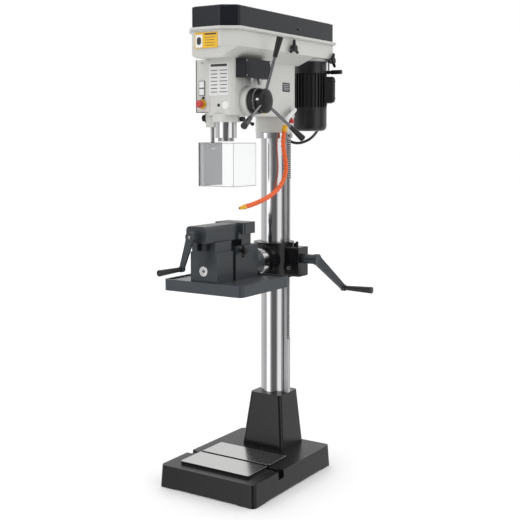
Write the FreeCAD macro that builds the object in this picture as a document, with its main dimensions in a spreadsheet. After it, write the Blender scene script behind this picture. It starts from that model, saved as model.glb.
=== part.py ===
"""Floor-standing drill press with a tilting vise table, in millimetres.

The origin is on the column's axis at floor level. +Z is up, -Y is the operator's side and
+X is the side of the feed handles, the rack and the elevating crank.
"""
import FreeCAD, Part
import math
import os
import re

import Sketcher
from FreeCAD import Placement, Rotation, Vector

# ---------------------------------------------------------------- driving dimensions
SIZES = dict(
    # fits between pieces
    fit=0.05, gap=0.3,
    # base casting
    base_half=202, base_front=451, base_back=82, base_height=80, base_draft=4.3, base_corner=16,
    base_wall=17, base_deck=32, base_foot=66, base_relief=4,
    pad_half=148, pad_front=404, pad_back=147, pad_height=10,
    slot_y=-275, slot_width=14, slot_wide=24, slot_lip=13, slot_depth=22, notch_width=36, notch_depth=28,
    # column and its foot
    column_radius=50, column_wall=7, column_start=84, column_top=1520,
    foot_half_low=91, foot_front_low=89, foot_back_low=73, foot_half_top=68, foot_reach_top=66,
    foot_top=284, foot_corner=15, foot_bolt=6, foot_bolt_head=17,
    # elevating rack, its gear and worm
    rack_width=17.5, rack_teeth_low=497, rack_teeth_count=78,
    rack_top=1260.7, gear_module=2.5, gear_teeth=18, gear_width=17, worm_rise=34, worm_turn=7.85,
    collar_low=1261, collar_height=21,
    # head casting
    head_half=60, head_front=362, head_back=80, head_low=1341, head_top=1537, head_corner=20, head_rear_corner=38,
    head_wall=11, neck_low=1283, spindle_y=-321, nose_boss_radius=48.5, nose_boss_low=1317,
    feed_z=1391, feed_boss_radius=52, feed_boss_reach=25,
    # quill, spindle and feed
    quill_radius=37.85, quill_low=1262, quill_top=1534, quill_bore=26,
    feed_module=1.5, feed_teeth=16, feed_spaces=32, feed_face=30, feed_journal=15, spindle_radius=14,
    spindle_nose=20, spindle_low=1250, spindle_top=1700, bearing_height=16, taper_radius=12, taper_depth=70,
    dial_radius=46, dial_width=34, hub_sleeve=24, hub_radius=40, hub_width=15, cap_radius=43, cap_width=14,
    arm_radius=5.5, arm_reach=228, arm_lean=13.6, arm_phase=6, grip_length=72, grip_thin=8, grip_thick=12,
    # pulley housing and cover
    cover_half=112, cover_front=439, cover_nose=58, cover_shoulder=402, cover_left=368, cover_rear=265,
    cover_corner=12,
    cover_low=1639.3, cover_high=1708.5, cover_wall=2.6, pan_inset=-1, pan_wall=5, pan_low=1572, pan_floor=9,
    pan_top=1639, lip_height=12, lip_reach=9, lip_step=3, throat_front=425, throat_back=85,
    hinge_radius=5, hinge_pin=2.5, hinge_x=-129, hinge_span=26, hinge_place=150,
    # belt drive
    step_height=24, drive_low=1590, belt_width=9, belt_depth=8, spindle_step=72, idler_step=45, motor_step=49,
    step_change=9, idler_x=20, idler_y=-62, idler_post=9, sleeve_radius=22, sleeve_low=1545,
    # motor
    motor_x=41, motor_y=202, motor_radius=66, motor_low=1375, motor_fins_top=1515,
    motor_top=1560, fin_count=28, fin_width=3, fan_low=1290, fan_round=20, mount_radius=62, shaft_radius=12,
    box_turn=33, box_out=97, box_half=41, box_low=1400, box_high=1502, motor_travel=15,
    # switchgear
    panel_half_low=98.6, panel_depth=62, panel_low=1351, panel_high=1536, panel_wall=2.5,
    button_x=-73, button_side=22, start_z=1449.5, stop_z=1423.5, button_proud=4, estop_x=-72, estop_z=1381,
    estop_radius=14, estop_collar=16.5, switch_reach=40, switch_front=346, switch_back=184, switch_low=1471,
    switch_high=1536,
    # guard
    guard_x=-62, guard_y=-316, guard_rod=7, guard_half=75, guard_front=383, guard_back=242, guard_low=1092,
    guard_high=1246, guard_sheet=3, clamp_low=1300, clamp_high=1350,
    # table bracket
    bracket_low=734, bracket_high=867, trunnion_z=802, boss_radius=60, boss_front=94,
    gearbox_out=130, gearbox_half=36, gearbox_low=741, gearbox_high=852, gear_z=774, gear_shaft=8,
    worm_radius=8.6, worm_root=6.4,
    # table and vise
    trunnion_radius=50, trunnion_front=147, spigot_radius=20, spigot_front=240, bolt_radius=11,
    table_half=167, table_front=472, table_back=160, table_low=725, table_high=765, table_rim=9,
    table_recess=5, table_corner=18, vise_half=56, vise_front=458, block_back=362, rear_front=343,
    rear_back=200, rear_high=880, rear_round=53, rail_high=904.5, keel_half=22, jaw_half=60, jaw_front=288.5,
    jaw_back=226, jaw_low=921, jaw_high=962, jaw_gap=5.5, slide_half=42.7, slide_front=500, slide_corner=15,
    screw_face=516,
    screw_z=927, screw_radius=9, channel_half=16, post_back=430, moving_jaw=10,
    # cranks
    crank_hub=21, crank_hub_end=197, crank_y=150, crank_z=685, crank_x=224, crank_grip_end=345,
    vise_crank_x=-33, vise_crank_z=817, vise_hub=18, vise_grip_end=660,
)

# Sizes that follow from the ones above
FOLLOWING = dict(
    rack_back="column_radius+0.6", rack_face="column_radius+19", collar_radius="column_radius+20",
    neck_radius="column_radius+21.5", bracket_radius="column_radius+28", quill_flat="quill_radius-1.85",
    motor_core="motor_radius-8", rotor_radius="motor_radius-26",
)

doc = FreeCAD.newDocument("drill_press")
sheet = doc.addObject("Spreadsheet::Sheet", "size")
for row, (alias, value) in enumerate(SIZES.items(), start=1):
    sheet.set("A%d" % row, alias)
    sheet.set("B%d" % row, str(value))
    sheet.setAlias("B%d" % row, alias)
for row, (alias, value) in enumerate(FOLLOWING.items(), start=len(SIZES) + 1):
    sheet.set("A%d" % row, alias)
    sheet.set("B%d" % row, "=" + value)
    sheet.setAlias("B%d" % row, alias)
doc.recompute()


def cell(alias):
    """The number in the sheet's named cell."""
    return float(sheet.get(alias))


def formula(text):
    """An expression on the sheet's cells, from one that uses their plain names."""
    known = set(SIZES) | set(FOLLOWING)
    return re.sub(r"[a-z_]+", lambda word: "size." + word[0] if word[0] in known else word[0], str(text))


def bind(thing, **sizes):
    for path, text in sizes.items():
        thing.setExpression(path.replace("__", "."), formula(text))


AXIS_TURN = {
    "Z": Rotation(),
    "X": Rotation(Vector(0, 1, 0), 90),
    "Y": Rotation(Vector(1, 0, 0), -90),
}


def locate(thing, at, turn=None):
    thing.Placement = Placement(Vector(), turn or Rotation())
    bind(thing, Placement__Base__x=at[0], Placement__Base__y=at[1], Placement__Base__z=at[2])


# ---------------------------------------------------------------- building blocks
def block(name, x, y, z):
    """A box between pairs of low and high coordinates."""
    made = doc.addObject("Part::Box", name)
    bind(made, Length="(%s)-(%s)" % (x[1], x[0]), Width="(%s)-(%s)" % (y[1], y[0]),
         Height="(%s)-(%s)" % (z[1], z[0]))
    locate(made, (x[0], y[0], z[0]))
    return made


def rod(name, axis, at, radius, length):
    made = doc.addObject("Part::Cylinder", name)
    bind(made, Radius=radius, Height=length)
    locate(made, at, AXIS_TURN[axis])
    return made


def cone(name, axis, at, start, end, length):
    made = doc.addObject("Part::Cone", name)
    bind(made, Radius1=start, Radius2=end, Height=length)
    locate(made, at, AXIS_TURN[axis])
    return made


def tapered(name, low, high, z, corner):
    """A cast block between two rectangles (x low, x high, y low, y high), upright edges rounded."""
    body = doc.addObject("PartDesign::Body", name)
    wedge = body.newObject("PartDesign::AdditiveWedge", name + "_wedge")
    bind(wedge, Xmin=low[0], Xmax=low[1], Zmin="-(%s)" % low[3], Zmax="-(%s)" % low[2],
         X2min=high[0], X2max=high[1], Z2min="-(%s)" % high[3], Z2max="-(%s)" % high[2],
         Ymin=0, Ymax="(%s)-(%s)" % (z[1], z[0]))
    doc.recompute()
    rounded(body, wedge, corner, lambda edge: abs(edge.tangentAt(edge.FirstParameter).y) > 0.3)
    locate(body, (0, 0, z[0]), Rotation(Vector(1, 0, 0), 90))
    return body


def rounded(body, feature, radius, pick):
    """Round the edges of a feature that the test picks."""
    edges = ["Edge%d" % (i + 1) for i, edge in enumerate(feature.Shape.Edges) if pick(edge)]
    fillet = body.newObject("PartDesign::Fillet", feature.Name + "_round")
    fillet.Base = (feature, edges)
    bind(fillet, Radius=radius)
    doc.recompute()
    return fillet


def sketched(body, name, corners):
    """A closed outline on the body's XY plane, each corner held by its two distances."""
    plane = next(p for p in body.Origin.OriginFeatures if p.Role == "XY_Plane")
    sketch = body.newObject("Sketcher::SketchObject", name)
    sketch.AttachmentSupport = [(plane, "")]
    sketch.MapMode = "FlatFace"
    doc.recompute()
    count = len(corners)
    spots = [Vector(math.cos(-2 * math.pi * i / count), math.sin(2 * math.pi * i / count), 0) * 50
             for i in range(count)]
    for i in range(count):
        sketch.addGeometry(Part.LineSegment(spots[i], spots[(i + 1) % count]), False)
    for i in range(count):
        sketch.addConstraint(Sketcher.Constraint("Coincident", i, 2, (i + 1) % count, 1))
    for i, (x, y) in enumerate(corners):
        across = sketch.addConstraint(Sketcher.Constraint("DistanceX", -1, 1, i, 1, spots[i].x))
        along = sketch.addConstraint(Sketcher.Constraint("DistanceY", -1, 1, i, 1, spots[i].y))
        sketch.setExpression("Constraints[%d]" % across, formula(x))
        sketch.setExpression("Constraints[%d]" % along, formula(y))
    return sketch


def upright(edge):
    return edge.Curve.TypeId == "Part::GeomLine" and abs(edge.tangentAt(edge.FirstParameter).z) > 0.99


def prism(name, axis, corners, start, length, corner=None, pick=upright):
    """A straight pad of an outline: in (x, y) along Z, in (y, z) along X, in (x, z) along Y."""
    body = doc.addObject("PartDesign::Body", name)
    pad = body.newObject("PartDesign::Pad", name + "_pad")
    pad.Profile = sketched(body, name + "_outline", corners)
    bind(pad, Length=length)
    doc.recompute()
    if corner:
        rounded(body, pad, corner, pick)
    if axis == "Z":
        locate(body, (0, 0, start))
    elif axis == "X":
        locate(body, (start, 0, 0), Rotation(Vector(1, 1, 1), 120))
    else:
        locate(body, (0, "(%s)+(%s)" % (start, length), 0), Rotation(Vector(1, 0, 0), 90))
    return body


def turned(name, axis, at, profile):
    """A turned piece: an outline of (radius, distance along the axis) pairs, spun about the axis."""
    body = doc.addObject("PartDesign::Body", name)
    sketch = sketched(body, name + "_profile", profile)
    spun = body.newObject("PartDesign::Revolution", name + "_spun")
    spun.Profile = sketch
    spun.ReferenceAxis = (sketch, ["V_Axis"])
    spun.Angle = 360
    upright_turn = Rotation(Vector(1, 0, 0), 90)
    locate(body, at, AXIS_TURN[axis].multiply(upright_turn))
    return body


def joined(name, pieces):
    made = doc.addObject("Part::MultiFuse", name)
    made.Shapes = pieces
    return made


def shared(name, pieces):
    """What the pieces have in common."""
    made = doc.addObject("Part::MultiCommon", name)
    made.Shapes = pieces
    return made


def grouped(name, pieces):
    """Separate solids that share one node."""
    made = doc.addObject("Part::Compound", name)
    made.Links = pieces
    return made


def trimmed(name, base, tools):
    made = doc.addObject("Part::Cut", name)
    made.Base = base
    made.Tool = tools[0] if len(tools) == 1 else joined(name + "_tools", tools)
    return made


def aimed(name, kind, start, end, twist=None, **sizes):
    """A primitive whose own Z runs from one point to another."""
    made = doc.addObject(kind, name)
    bind(made, **sizes)
    way = Vector(*end) - Vector(*start)
    turn = Rotation(Vector(0, 0, 1), way)
    if twist is not None:
        turn = turn.multiply(Rotation(Vector(0, 0, 1), twist))
    made.Placement = Placement(Vector(*start), turn)
    made.setExpression("Height", "%.4f" % way.Length)
    return made


def lever_bar(name, start, end, wide, thick):
    """A flat tapering arm between two points, wide and thick given at each end."""
    made = doc.addObject("Part::Wedge", name)
    way = Vector(*end) - Vector(*start)
    bind(made, Xmin=-wide[0] / 2, Xmax=wide[0] / 2, Zmin=-thick[0] / 2, Zmax=thick[0] / 2,
         X2min=-wide[1] / 2, X2max=wide[1] / 2, Z2min=-thick[1] / 2, Z2max=thick[1] / 2,
         Ymin=0, Ymax=way.Length)
    return made, way


def shaped(name, shape):
    """A piece made with Part's own functions, where no feature fits its outline."""
    made = doc.addObject("Part::Feature", name)
    made.Shape = shape
    return made


def gear_outline(module, teeth, centre_angle):
    """Points of a spur gear with one tooth on the given angle: root, flank, pitch and tip."""
    pitch = module * teeth / 2
    play = 0.12 * module
    base = pitch * math.cos(math.radians(20))

    def half_width(radius):
        roll = math.acos(min(1, base / radius))
        rest = math.tan(math.radians(20)) - math.radians(20)
        return math.pi / (2 * teeth) - play / (2 * pitch) + rest - (math.tan(roll) - roll)

    radii = (pitch - 1.2 * module, max(base, pitch - 0.8 * module), pitch, pitch + 0.5 * module, pitch + 0.9 * module)
    points = []
    for tooth in range(teeth):
        middle = centre_angle + 2 * math.pi * tooth / teeth
        flank = [(r, half_width(r)) for r in radii]
        for r, half in flank:
            points.append((r, middle - half))
        for r, half in reversed(flank):
            points.append((r, middle + half))
    return [Vector(r * math.cos(a), r * math.sin(a), 0) for r, a in points]


def gear_blank(module, teeth, width, centre_angle):
    points = gear_outline(module, teeth, centre_angle)
    face = Part.Face(Part.makePolygon(points + points[:1]))
    return face.extrude(Vector(0, 0, width))


def rack_spaces(module, length_teeth, depth_out, width):
    """The gaps between a rack's teeth: the rack runs along Z with its teeth facing +X at x = 0."""
    pitch = math.pi * module
    slope = math.tan(math.radians(20))
    out, deep = depth_out, -2.15 * module
    half_out = pitch / 4 + (out + module) * slope
    half_deep = pitch / 4 + (deep + module) * slope
    gaps = []
    for i in range(length_teeth):
        z = i * pitch
        outline = [Vector(out, 0, z - half_out), Vector(out, 0, z + half_out),
                   Vector(deep, 0, z + half_deep), Vector(deep, 0, z - half_deep)]
        gap = Part.Face(Part.makePolygon(outline + outline[:1])).extrude(Vector(0, width, 0))
        gap.translate(Vector(0, -width / 2, 0))
        gaps.append(gap)
    return gaps


def lobed_knob(name, axis, at, radius, reach, depth, lobes=3, phase=90):
    """A clamping knob: a hub with rounded lobes, spun about the axis."""
    hub = Part.makeCylinder(radius, depth)
    middle, root = Vector(0, 0, depth / 2), min(radius * 0.62, depth * 0.44)
    length, tip = reach - radius * 0.4, root * 0.72
    outline = Part.Wire([
        Part.LineSegment(Vector(), Vector(root, 0, 0)).toShape(),
        Part.LineSegment(Vector(root, 0, 0), Vector(tip, 0, length)).toShape(),
        Part.Arc(Vector(tip, 0, length), Vector(tip * math.sqrt(0.5), 0, length + tip * math.sqrt(0.5)),
                 Vector(0, 0, length + tip)).toShape(),
        Part.LineSegment(Vector(0, 0, length + tip), Vector()).toShape()])
    arms = []
    for i in range(lobes):
        angle = math.radians(phase + 360 * i / lobes)
        way = Vector(math.cos(angle), math.sin(angle), 0)
        arm = Part.Face(outline).revolve(Vector(), Vector(0, 0, 1), 360)
        arm.Placement = Placement(middle + way * radius * 0.4, Rotation(Vector(0, 0, 1), way))
        arms.append(arm)
    made = shaped(name, hub.fuse(arms))
    turn = {"X": Rotation(Vector(0, 1, 0), 90), "-X": Rotation(Vector(0, 1, 0), -90), "Z": Rotation()}[axis]
    locate(made, at, turn)
    return made


def belt_loop(first, first_radius, second, second_radius, width):
    """A flat loop round two circles, as a face offset outwards by the belt's depth and extruded."""
    def loop(extra):
        a, b = Vector(*first, 0), Vector(*second, 0)
        ra, rb = first_radius + extra, second_radius + extra
        way = b - a
        heading = math.atan2(way.y, way.x)
        lean = math.acos((ra - rb) / way.Length)

        def spot(centre, radius, angle):
            return centre + Vector(math.cos(angle), math.sin(angle), 0) * radius

        up, down = heading + lean, heading - lean
        edges = [
            Part.LineSegment(spot(a, ra, up), spot(b, rb, up)).toShape(),
            Part.Arc(spot(b, rb, up), spot(b, rb, heading), spot(b, rb, down)).toShape(),
            Part.LineSegment(spot(b, rb, down), spot(a, ra, down)).toShape(),
            Part.Arc(spot(a, ra, down), spot(a, ra, heading + math.pi), spot(a, ra, up)).toShape(),
        ]
        return Part.Face(Part.Wire(edges))
    return loop(cell("belt_depth")).cut(loop(0)).extrude(Vector(0, 0, width))


def route_tube(name, points, diameter):
    """A cord along straight runs joined by tangent arcs, each as large as its two runs allow."""
    spots = [Vector(*p) for p in points]
    edges, radii, last = [], [], spots[0]
    for before, corner, after in zip(spots, spots[1:], spots[2:]):
        arriving, leaving = (corner - before), (after - corner)
        turn = arriving.getAngle(leaving)
        cut = 0.45 * min(arriving.Length, leaving.Length)
        radius = cut / math.tan(turn / 2)
        radii.append(radius)
        start = corner - arriving.normalize() * cut
        end = corner + leaving.normalize() * cut
        inward = (start + end) * 0.5 - corner
        centre = corner + inward.normalize() * math.hypot(radius, cut)
        middle = centre - (centre - corner).normalize() * radius
        edges += [Part.LineSegment(last, start).toShape(), Part.Arc(start, middle, end).toShape()]
        last = end
    edges.append(Part.LineSegment(last, spots[-1]).toShape())
    path = Part.Wire(edges)
    section = Part.Wire(Part.Circle(spots[0], spots[1] - spots[0], diameter / 2).toShape())
    tube = path.makePipeShell([section], True, False)
    solid = tube if tube.ShapeType == "Solid" else Part.Solid(tube)
    expected = math.pi * diameter ** 2 / 4 * path.Length
    print("%s length %.0f mm, radii %s, volume ratio %.4f" % (
        name, path.Length, " ".join("%.0f" % r for r in radii), solid.Volume / expected))
    if abs(solid.Volume / expected - 1) > 0.01:
        raise RuntimeError(name + " is not a plain tube")
    return shaped(name, solid)


# Places that several pieces share, as expressions on the sheet
GEAR_X = "(rack_face-gear_module+gear_module*gear_teeth/2)"
FEED_Y = "(spindle_y+quill_flat-feed_module+feed_module*feed_teeth/2)"
HUB_START = "(head_half+feed_boss_reach+gap)"
DIAL_END = "(head_half+feed_boss_reach+gap+dial_width)"
WORM_Z = "(gear_z+worm_rise)"


# ---------------------------------------------------------------- base, foot and column
def base():
    low = ("-base_half-base_draft", "base_half+base_draft", "-base_front-base_draft", "base_back+base_draft")
    high = ("-base_half", "base_half", "-base_front", "base_back")
    casting = tapered("base_casting", low, high, (0, "base_height"), "base_corner")
    pad = prism("base_pad", "Z", [("-pad_half", "-pad_front"), ("pad_half", "-pad_front"),
                                  ("pad_half", "-pad_back"), ("-pad_half", "-pad_back")],
                "base_height-base_wall", "base_wall+pad_height", 6)
    pad_top = "base_height+pad_height"
    across = ("-base_half-2*base_draft", "base_half+2*base_draft")
    slot_run = ("-base_half+notch_depth-6", "base_half-notch_depth+6")
    cuts = [
        block("slot_neck", slot_run, ("slot_y-slot_width/2", "slot_y+slot_width/2"),
              (pad_top + "-slot_depth", pad_top + "+1")),
        block("slot_foot", slot_run, ("slot_y-slot_wide/2", "slot_y+slot_wide/2"),
              (pad_top + "-slot_depth", pad_top + "-slot_lip")),
    ]
    for side, ends in (("left", ("-base_half-base_draft-1", "-base_half+notch_depth-notch_width/2")),
                       ("right", ("base_half-notch_depth+notch_width/2", "base_half+base_draft+1"))):
        centre = ends[1] if side == "left" else ends[0]
        cuts.append(block("notch_" + side, ends, ("slot_y-notch_width/2", "slot_y+notch_width/2"),
                          ("base_height-notch_depth", "base_height+1")))
        cuts.append(rod("notch_end_" + side, "Z", (centre, "slot_y", "base_height-notch_depth"),
                        "notch_width/2", "notch_depth+1"))
    under = (-1, "base_height-base_deck")
    inner = ("-base_half+base_wall", "base_half-base_wall")
    cuts.append(block("under_front", inner, ("-base_front+base_wall", "-foot_front_low-base_wall"), under))
    for side, ends in (("left", (inner[0], "-foot_half_low-8")), ("right", ("foot_half_low+8", inner[1]))):
        cuts.append(block("under_" + side, ends, ("-foot_front_low-8", "base_back-base_wall"), under))
    relief = (-1, "base_relief")
    cuts.append(block("relief_front", ("-base_half+base_foot", "base_half-base_foot"),
                      ("-base_front-2*base_draft", "-base_front+base_wall+1"), relief))
    for side, ends in (("left", (across[0], "-base_half+base_wall+1")),
                       ("right", ("base_half-base_wall-1", across[1]))):
        cuts.append(block("relief_" + side, ends, ("-base_front+base_foot", "base_back-base_foot"), relief))
    for i, at in enumerate(foot_bolt_places()):
        cuts.append(rod("bolt_pocket_%d" % i, "Z", (at[0], at[1], -1), "foot_bolt+5", "foot_bolt_head+1"))
    return trimmed("base", joined("base_solid", [casting, pad]), cuts)


def column_foot():
    low = ("-foot_half_low", "foot_half_low", "-foot_front_low", "foot_back_low")
    high = ("-foot_half_top", "foot_half_top", "-foot_reach_top", "foot_reach_top")
    casting = tapered("foot_casting", low, high, ("base_height", "foot_top"), "foot_corner")
    bore = rod("foot_bore", "Z", (0, 0, "column_start"), "column_radius", "foot_top-column_start+1")
    return trimmed("column_foot", casting, [bore])


def tube(name, axis, at, outer, inner, length):
    """A round tube; its bore runs past both ends."""
    longer = list(at)
    place = "XYZ".index(axis)
    longer[place] = "(%s)-1" % at[place]
    return trimmed(name, rod(name + "_outside", axis, at, outer, length),
                   [rod(name + "_bore", axis, longer, inner, "(%s)+2" % length)])


def column():
    return tube("column", "Z", (0, 0, "column_start"), "column_radius", "column_radius-column_wall",
                "column_top-column_start")


def rack_collar():
    return tube("rack_collar", "Z", (0, 0, "collar_low"), "collar_radius", "column_radius", "collar_height")


def foot_bolt_places():
    return [("%d*(foot_half_top-2)" % x, "%d*(foot_reach_top-4)" % y)
            for x, y in ((-1, -1), (1, -1), (-1, 1), (1, 1))]


def fasteners():
    """Foot bolts from below, the collar's screw and the switch box's four screws."""
    pieces = []
    for i, at in enumerate(foot_bolt_places()):
        pieces.append(joined("foot_bolt_%d" % i, [
            rod("foot_bolt_head_%d" % i, "Z", (at[0], at[1], "foot_bolt_head-10"), "foot_bolt+3", 10),
            rod("foot_bolt_shank_%d" % i, "Z", (at[0], at[1], "foot_bolt_head-1"), "foot_bolt", "base_height+16")]))
    pieces.append(joined("collar_screw", [
        rod("collar_screw_head", "X", ("collar_radius", 0, "collar_low+collar_height/2"), 8, 7),
        rod("collar_screw_shank", "X", ("column_radius", 0, "collar_low+collar_height/2"), 4,
            "collar_radius-column_radius+1")]))
    for i, (y, z) in enumerate((("-switch_front+7", "switch_low+7"), ("-switch_back-7", "switch_low+7"),
                                ("-switch_front+7", "switch_high-7"), ("-switch_back-7", "switch_high-7"))):
        pieces.append(joined("box_screw_%d" % i, [
            rod("box_screw_head_%d" % i, "X", ("head_half+switch_reach", y, z), 3, 1.6),
            rod("box_screw_shank_%d" % i, "X", ("head_half+switch_reach-7", y, z), 1.6, 7.5)]))
    return grouped("fasteners", pieces)


# ---------------------------------------------------------------- head casting and housing
def head():
    walls = [("-head_half", "-head_front"), ("head_half", "-head_front"), ("head_half", "head_back"),
             ("-head_half", "head_back")]
    main = doc.addObject("PartDesign::Body", "head_main")
    pad = main.newObject("PartDesign::Pad", "head_main_pad")
    pad.Profile = sketched(main, "head_main_outline", walls)
    bind(pad, Length="head_top-head_low")
    doc.recompute()
    front = rounded(main, pad, "head_corner", lambda edge: upright(edge) and edge.BoundBox.YMax < 0)
    rounded(main, front, "head_rear_corner", lambda edge: upright(edge) and edge.BoundBox.YMin > 0)
    locate(main, (0, 0, "head_low"))
    solid = joined("head_solid", [
        main,
        rod("neck", "Z", (0, 0, "neck_low"), "neck_radius", "head_low-neck_low+head_wall"),
        rod("nose_boss", "Z", (0, "spindle_y", "nose_boss_low"), "nose_boss_radius", "head_low-nose_boss_low+5"),
        rod("feed_boss", "X", ("head_half-15", FEED_Y, "feed_z"), "feed_boss_radius", "15+feed_boss_reach"),
        prism("guard_clamp", "Z", [("guard_x-21", "guard_y-16"), ("guard_x+22", "guard_y-16"),
                                   ("guard_x+22", "guard_y+16"), ("guard_x-21", "guard_y+16")],
              "clamp_low", "clamp_high-clamp_low", 5),
    ])
    cuts = [
        rod("column_socket", "Z", (0, 0, "neck_low-1"), "column_radius", "column_top-neck_low+1"),
        rod("quill_bore", "Z", (0, "spindle_y", "nose_boss_low-1"), "quill_radius+fit", "head_top-nose_boss_low+2"),
        rod("feed_bore", "X", ("-head_half-1", FEED_Y, "feed_z"), "feed_journal+fit", "2*head_half+feed_boss_reach+2"),
        block("head_hollow", ("-head_half+head_wall", "head_half-head_wall"),
              (FEED_Y + "+feed_journal+14", "-column_radius-head_wall"), ("head_low+head_wall", "head_top+1")),
        rod("guard_rod_bore", "Z", ("guard_x", "guard_y", "clamp_low-1"), "guard_rod+fit", "clamp_high-clamp_low+2"),
        rod("guard_screw_bore", "X", ("guard_x-25", "guard_y", "(clamp_low+clamp_high)/2+8"), 4.06, 25),
    ]
    return trimmed("head", solid, cuts)


def housing_outline(inset):
    """The belt housing's outline, moved in by an amount all round: front, shoulders and rear."""
    half = "(cover_half-%s)" % inset
    return [("-cover_nose+0.2*(%s)" % inset, "-cover_front+%s" % inset),
            ("cover_nose-0.2*(%s)" % inset, "-cover_front+%s" % inset),
            (half, "-cover_shoulder+0.4*(%s)" % inset), (half, "cover_rear-(%s)" % inset),
            ("-" + half, "cover_rear-(%s)" % inset), ("-" + half, "-cover_left+0.4*(%s)" % inset)]


def hinge_places():
    return [("front", "-hinge_place-hinge_span/2"), ("rear", "hinge_place-hinge_span/2")]


def hinge_leaf(name, start, z, bridge):
    """A knuckle with its leaf; the knuckle turns on a pin along Y."""
    knuckle = rod(name + "_knuckle", "Y", ("hinge_x", start, "pan_top+1"), "hinge_radius", "hinge_span/2-gap")
    leaf = block(name + "_leaf", ("hinge_x", bridge), (start, "(%s)+hinge_span/2-gap" % start), z)
    return [knuckle, leaf]


def pulley_housing():
    pan = prism("pan", "Z", housing_outline("pan_inset"), "pan_low", "pan_top-pan_low", "cover_corner")
    lip = prism("pan_lip", "Z", housing_outline("(pan_inset-lip_reach)"), "pan_top-lip_height+lip_step",
                "lip_height-lip_step", "cover_corner")
    lip_low = prism("pan_lip_low", "Z", housing_outline("(pan_inset-lip_reach+lip_step)"), "pan_top-lip_height",
                    "lip_step+1", "cover_corner")
    low = ("-head_half", "head_half", "-throat_front", "throat_back")
    high = ("-cover_half+pan_inset+1", "cover_half-pan_inset-1", "-cover_front+pan_inset+2", "throat_back+35")
    throat = shared("throat", [
        tapered("throat_block", low, high, ("head_top", "pan_low+1"), 14),
        prism("throat_limit", "Z", housing_outline("(pan_inset+0.4)"), "head_top-1", "pan_low-head_top+3",
              "cover_corner")])
    post = rod("idler_post", "Z", ("idler_x", "idler_y", "pan_low"), "idler_post", "drive_low-pan_low+4*step_height")
    hub = rod("sleeve_hub", "Z", (0, "spindle_y", "head_top"), "sleeve_radius+9", "drive_low-4-head_top")
    inside = prism("pan_inside", "Z", housing_outline("(pan_inset+pan_wall)"), "pan_low+pan_floor",
                   "pan_top-pan_low", 8)
    shell = trimmed("pan_shell", joined("pan_outside", [pan, lip, lip_low, throat]), [
        inside,
        block("throat_hollow", ("-head_half+head_wall", "head_half-head_wall"),
              ("-throat_front+head_wall", "throat_back-head_wall"), ("head_top+head_wall", "pan_low"))])
    knuckles = []
    for place, start in hinge_places():
        knuckles += hinge_leaf("pan_" + place, start, ("pan_top-6", "pan_top"), "-cover_half+pan_inset-lip_reach+1")
    whole = joined("housing_solid", [shell, post, hub] + knuckles)
    cuts = [
        rod("sleeve_bore", "Z", (0, "spindle_y", "head_top-1"), "sleeve_radius+fit", "drive_low-head_top"),
        prism("motor_slot", "Z", [("motor_x-24", "motor_y-24-motor_travel"), ("motor_x+24", "motor_y-24-motor_travel"),
                                  ("motor_x+24", "motor_y+24"), ("motor_x-24", "motor_y+24")],
              "pan_low-1", "pan_floor+2", 22),
        rod("lock_bore", "X", ("cover_half-pan_inset-pan_wall-1", -65, "pan_low+18"), 5.06, "pan_wall+2"),
    ]
    for place, start in hinge_places():
        cuts.append(rod("pan_pin_bore_" + place, "Y", ("hinge_x", "(%s)-1" % start, "pan_top+1"), "hinge_pin",
                        "hinge_span/2+2"))
    return trimmed("pulley_housing", whole, cuts)


def belt_cover():
    outside = prism("cover_outside", "Z", housing_outline("0"), "cover_low", "cover_high-cover_low", "cover_corner")
    crown = prism("cover_crown", "Z", housing_outline("9"), "cover_high", 3, 8)
    inside = prism("cover_inside", "Z", housing_outline("cover_wall"), "cover_low-1",
                   "cover_high-cover_low+1-cover_wall", 9)
    knuckles = []
    for place, start in hinge_places():
        own = "(%s)+hinge_span/2" % start
        knuckles += hinge_leaf("cover_" + place, own, ("pan_top+1.5", "pan_top+6"), "-cover_half+1")
    latch = rod("cover_latch", "X", ("cover_half-1", -10, "cover_low+26"), 5, 5)
    shell = joined("cover_shell", [trimmed("cover_hollow", joined("cover_solid", [outside, crown]), [inside]), latch]
                   + knuckles)
    cuts = [rod("cover_pin_bore_" + place, "Y", ("hinge_x", "(%s)+hinge_span/2-1" % start, "pan_top+1"),
                "hinge_pin+fit", "hinge_span/2+2") for place, start in hinge_places()]
    return trimmed("belt_cover", shell, cuts)


def cover_hinge_pins():
    return grouped("cover_hinge_pins", [
        rod("cover_pin_" + place, "Y", ("hinge_x", "(%s)-2" % start, "pan_top+1"), "hinge_pin", "hinge_span+4")
        for place, start in hinge_places()])


# ---------------------------------------------------------------- belt drive
def step_profile(bore, first, change, low, high, extra):
    """Half-section of a four-step pulley with a square groove in each step, from its bore out."""
    profile = [(bore, low)]
    for i in range(4):
        radius = "(%s)+(%s)*%d" % (first, change, i)
        z = "%d*step_height" % i
        edge = "(step_height-belt_width)/2-0.7"
        profile += [(radius, z), (radius, "%s+%s" % (z, edge)),
                    ("%s-belt_depth-0.5" % radius, "%s+%s" % (z, edge)),
                    ("%s-belt_depth-0.5" % radius, "%s+step_height-(%s)" % (z, edge)),
                    (radius, "%s+step_height-(%s)" % (z, edge)), (radius, "%s+step_height" % z)]
    return extra + profile[1:] + [(bore, high)]


def spindle_pulley():
    sleeve = [("spindle_radius+fit", "sleeve_low-drive_low"), ("sleeve_radius", "sleeve_low-drive_low"),
              ("sleeve_radius", 0)]
    profile = step_profile("spindle_radius+fit", "spindle_step", "-step_change", 0, "4*step_height", sleeve)
    return turned("spindle_pulley", "Z", (0, "spindle_y", "drive_low"), profile)


def idler_pulley():
    profile = step_profile("idler_post+fit", "idler_step", "step_change", 0, "4*step_height+4",
                           [("idler_post+fit", -4), (20, -4), (20, 0)])
    return turned("idler_pulley", "Z", ("idler_x", "idler_y", "drive_low"), profile)


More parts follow.
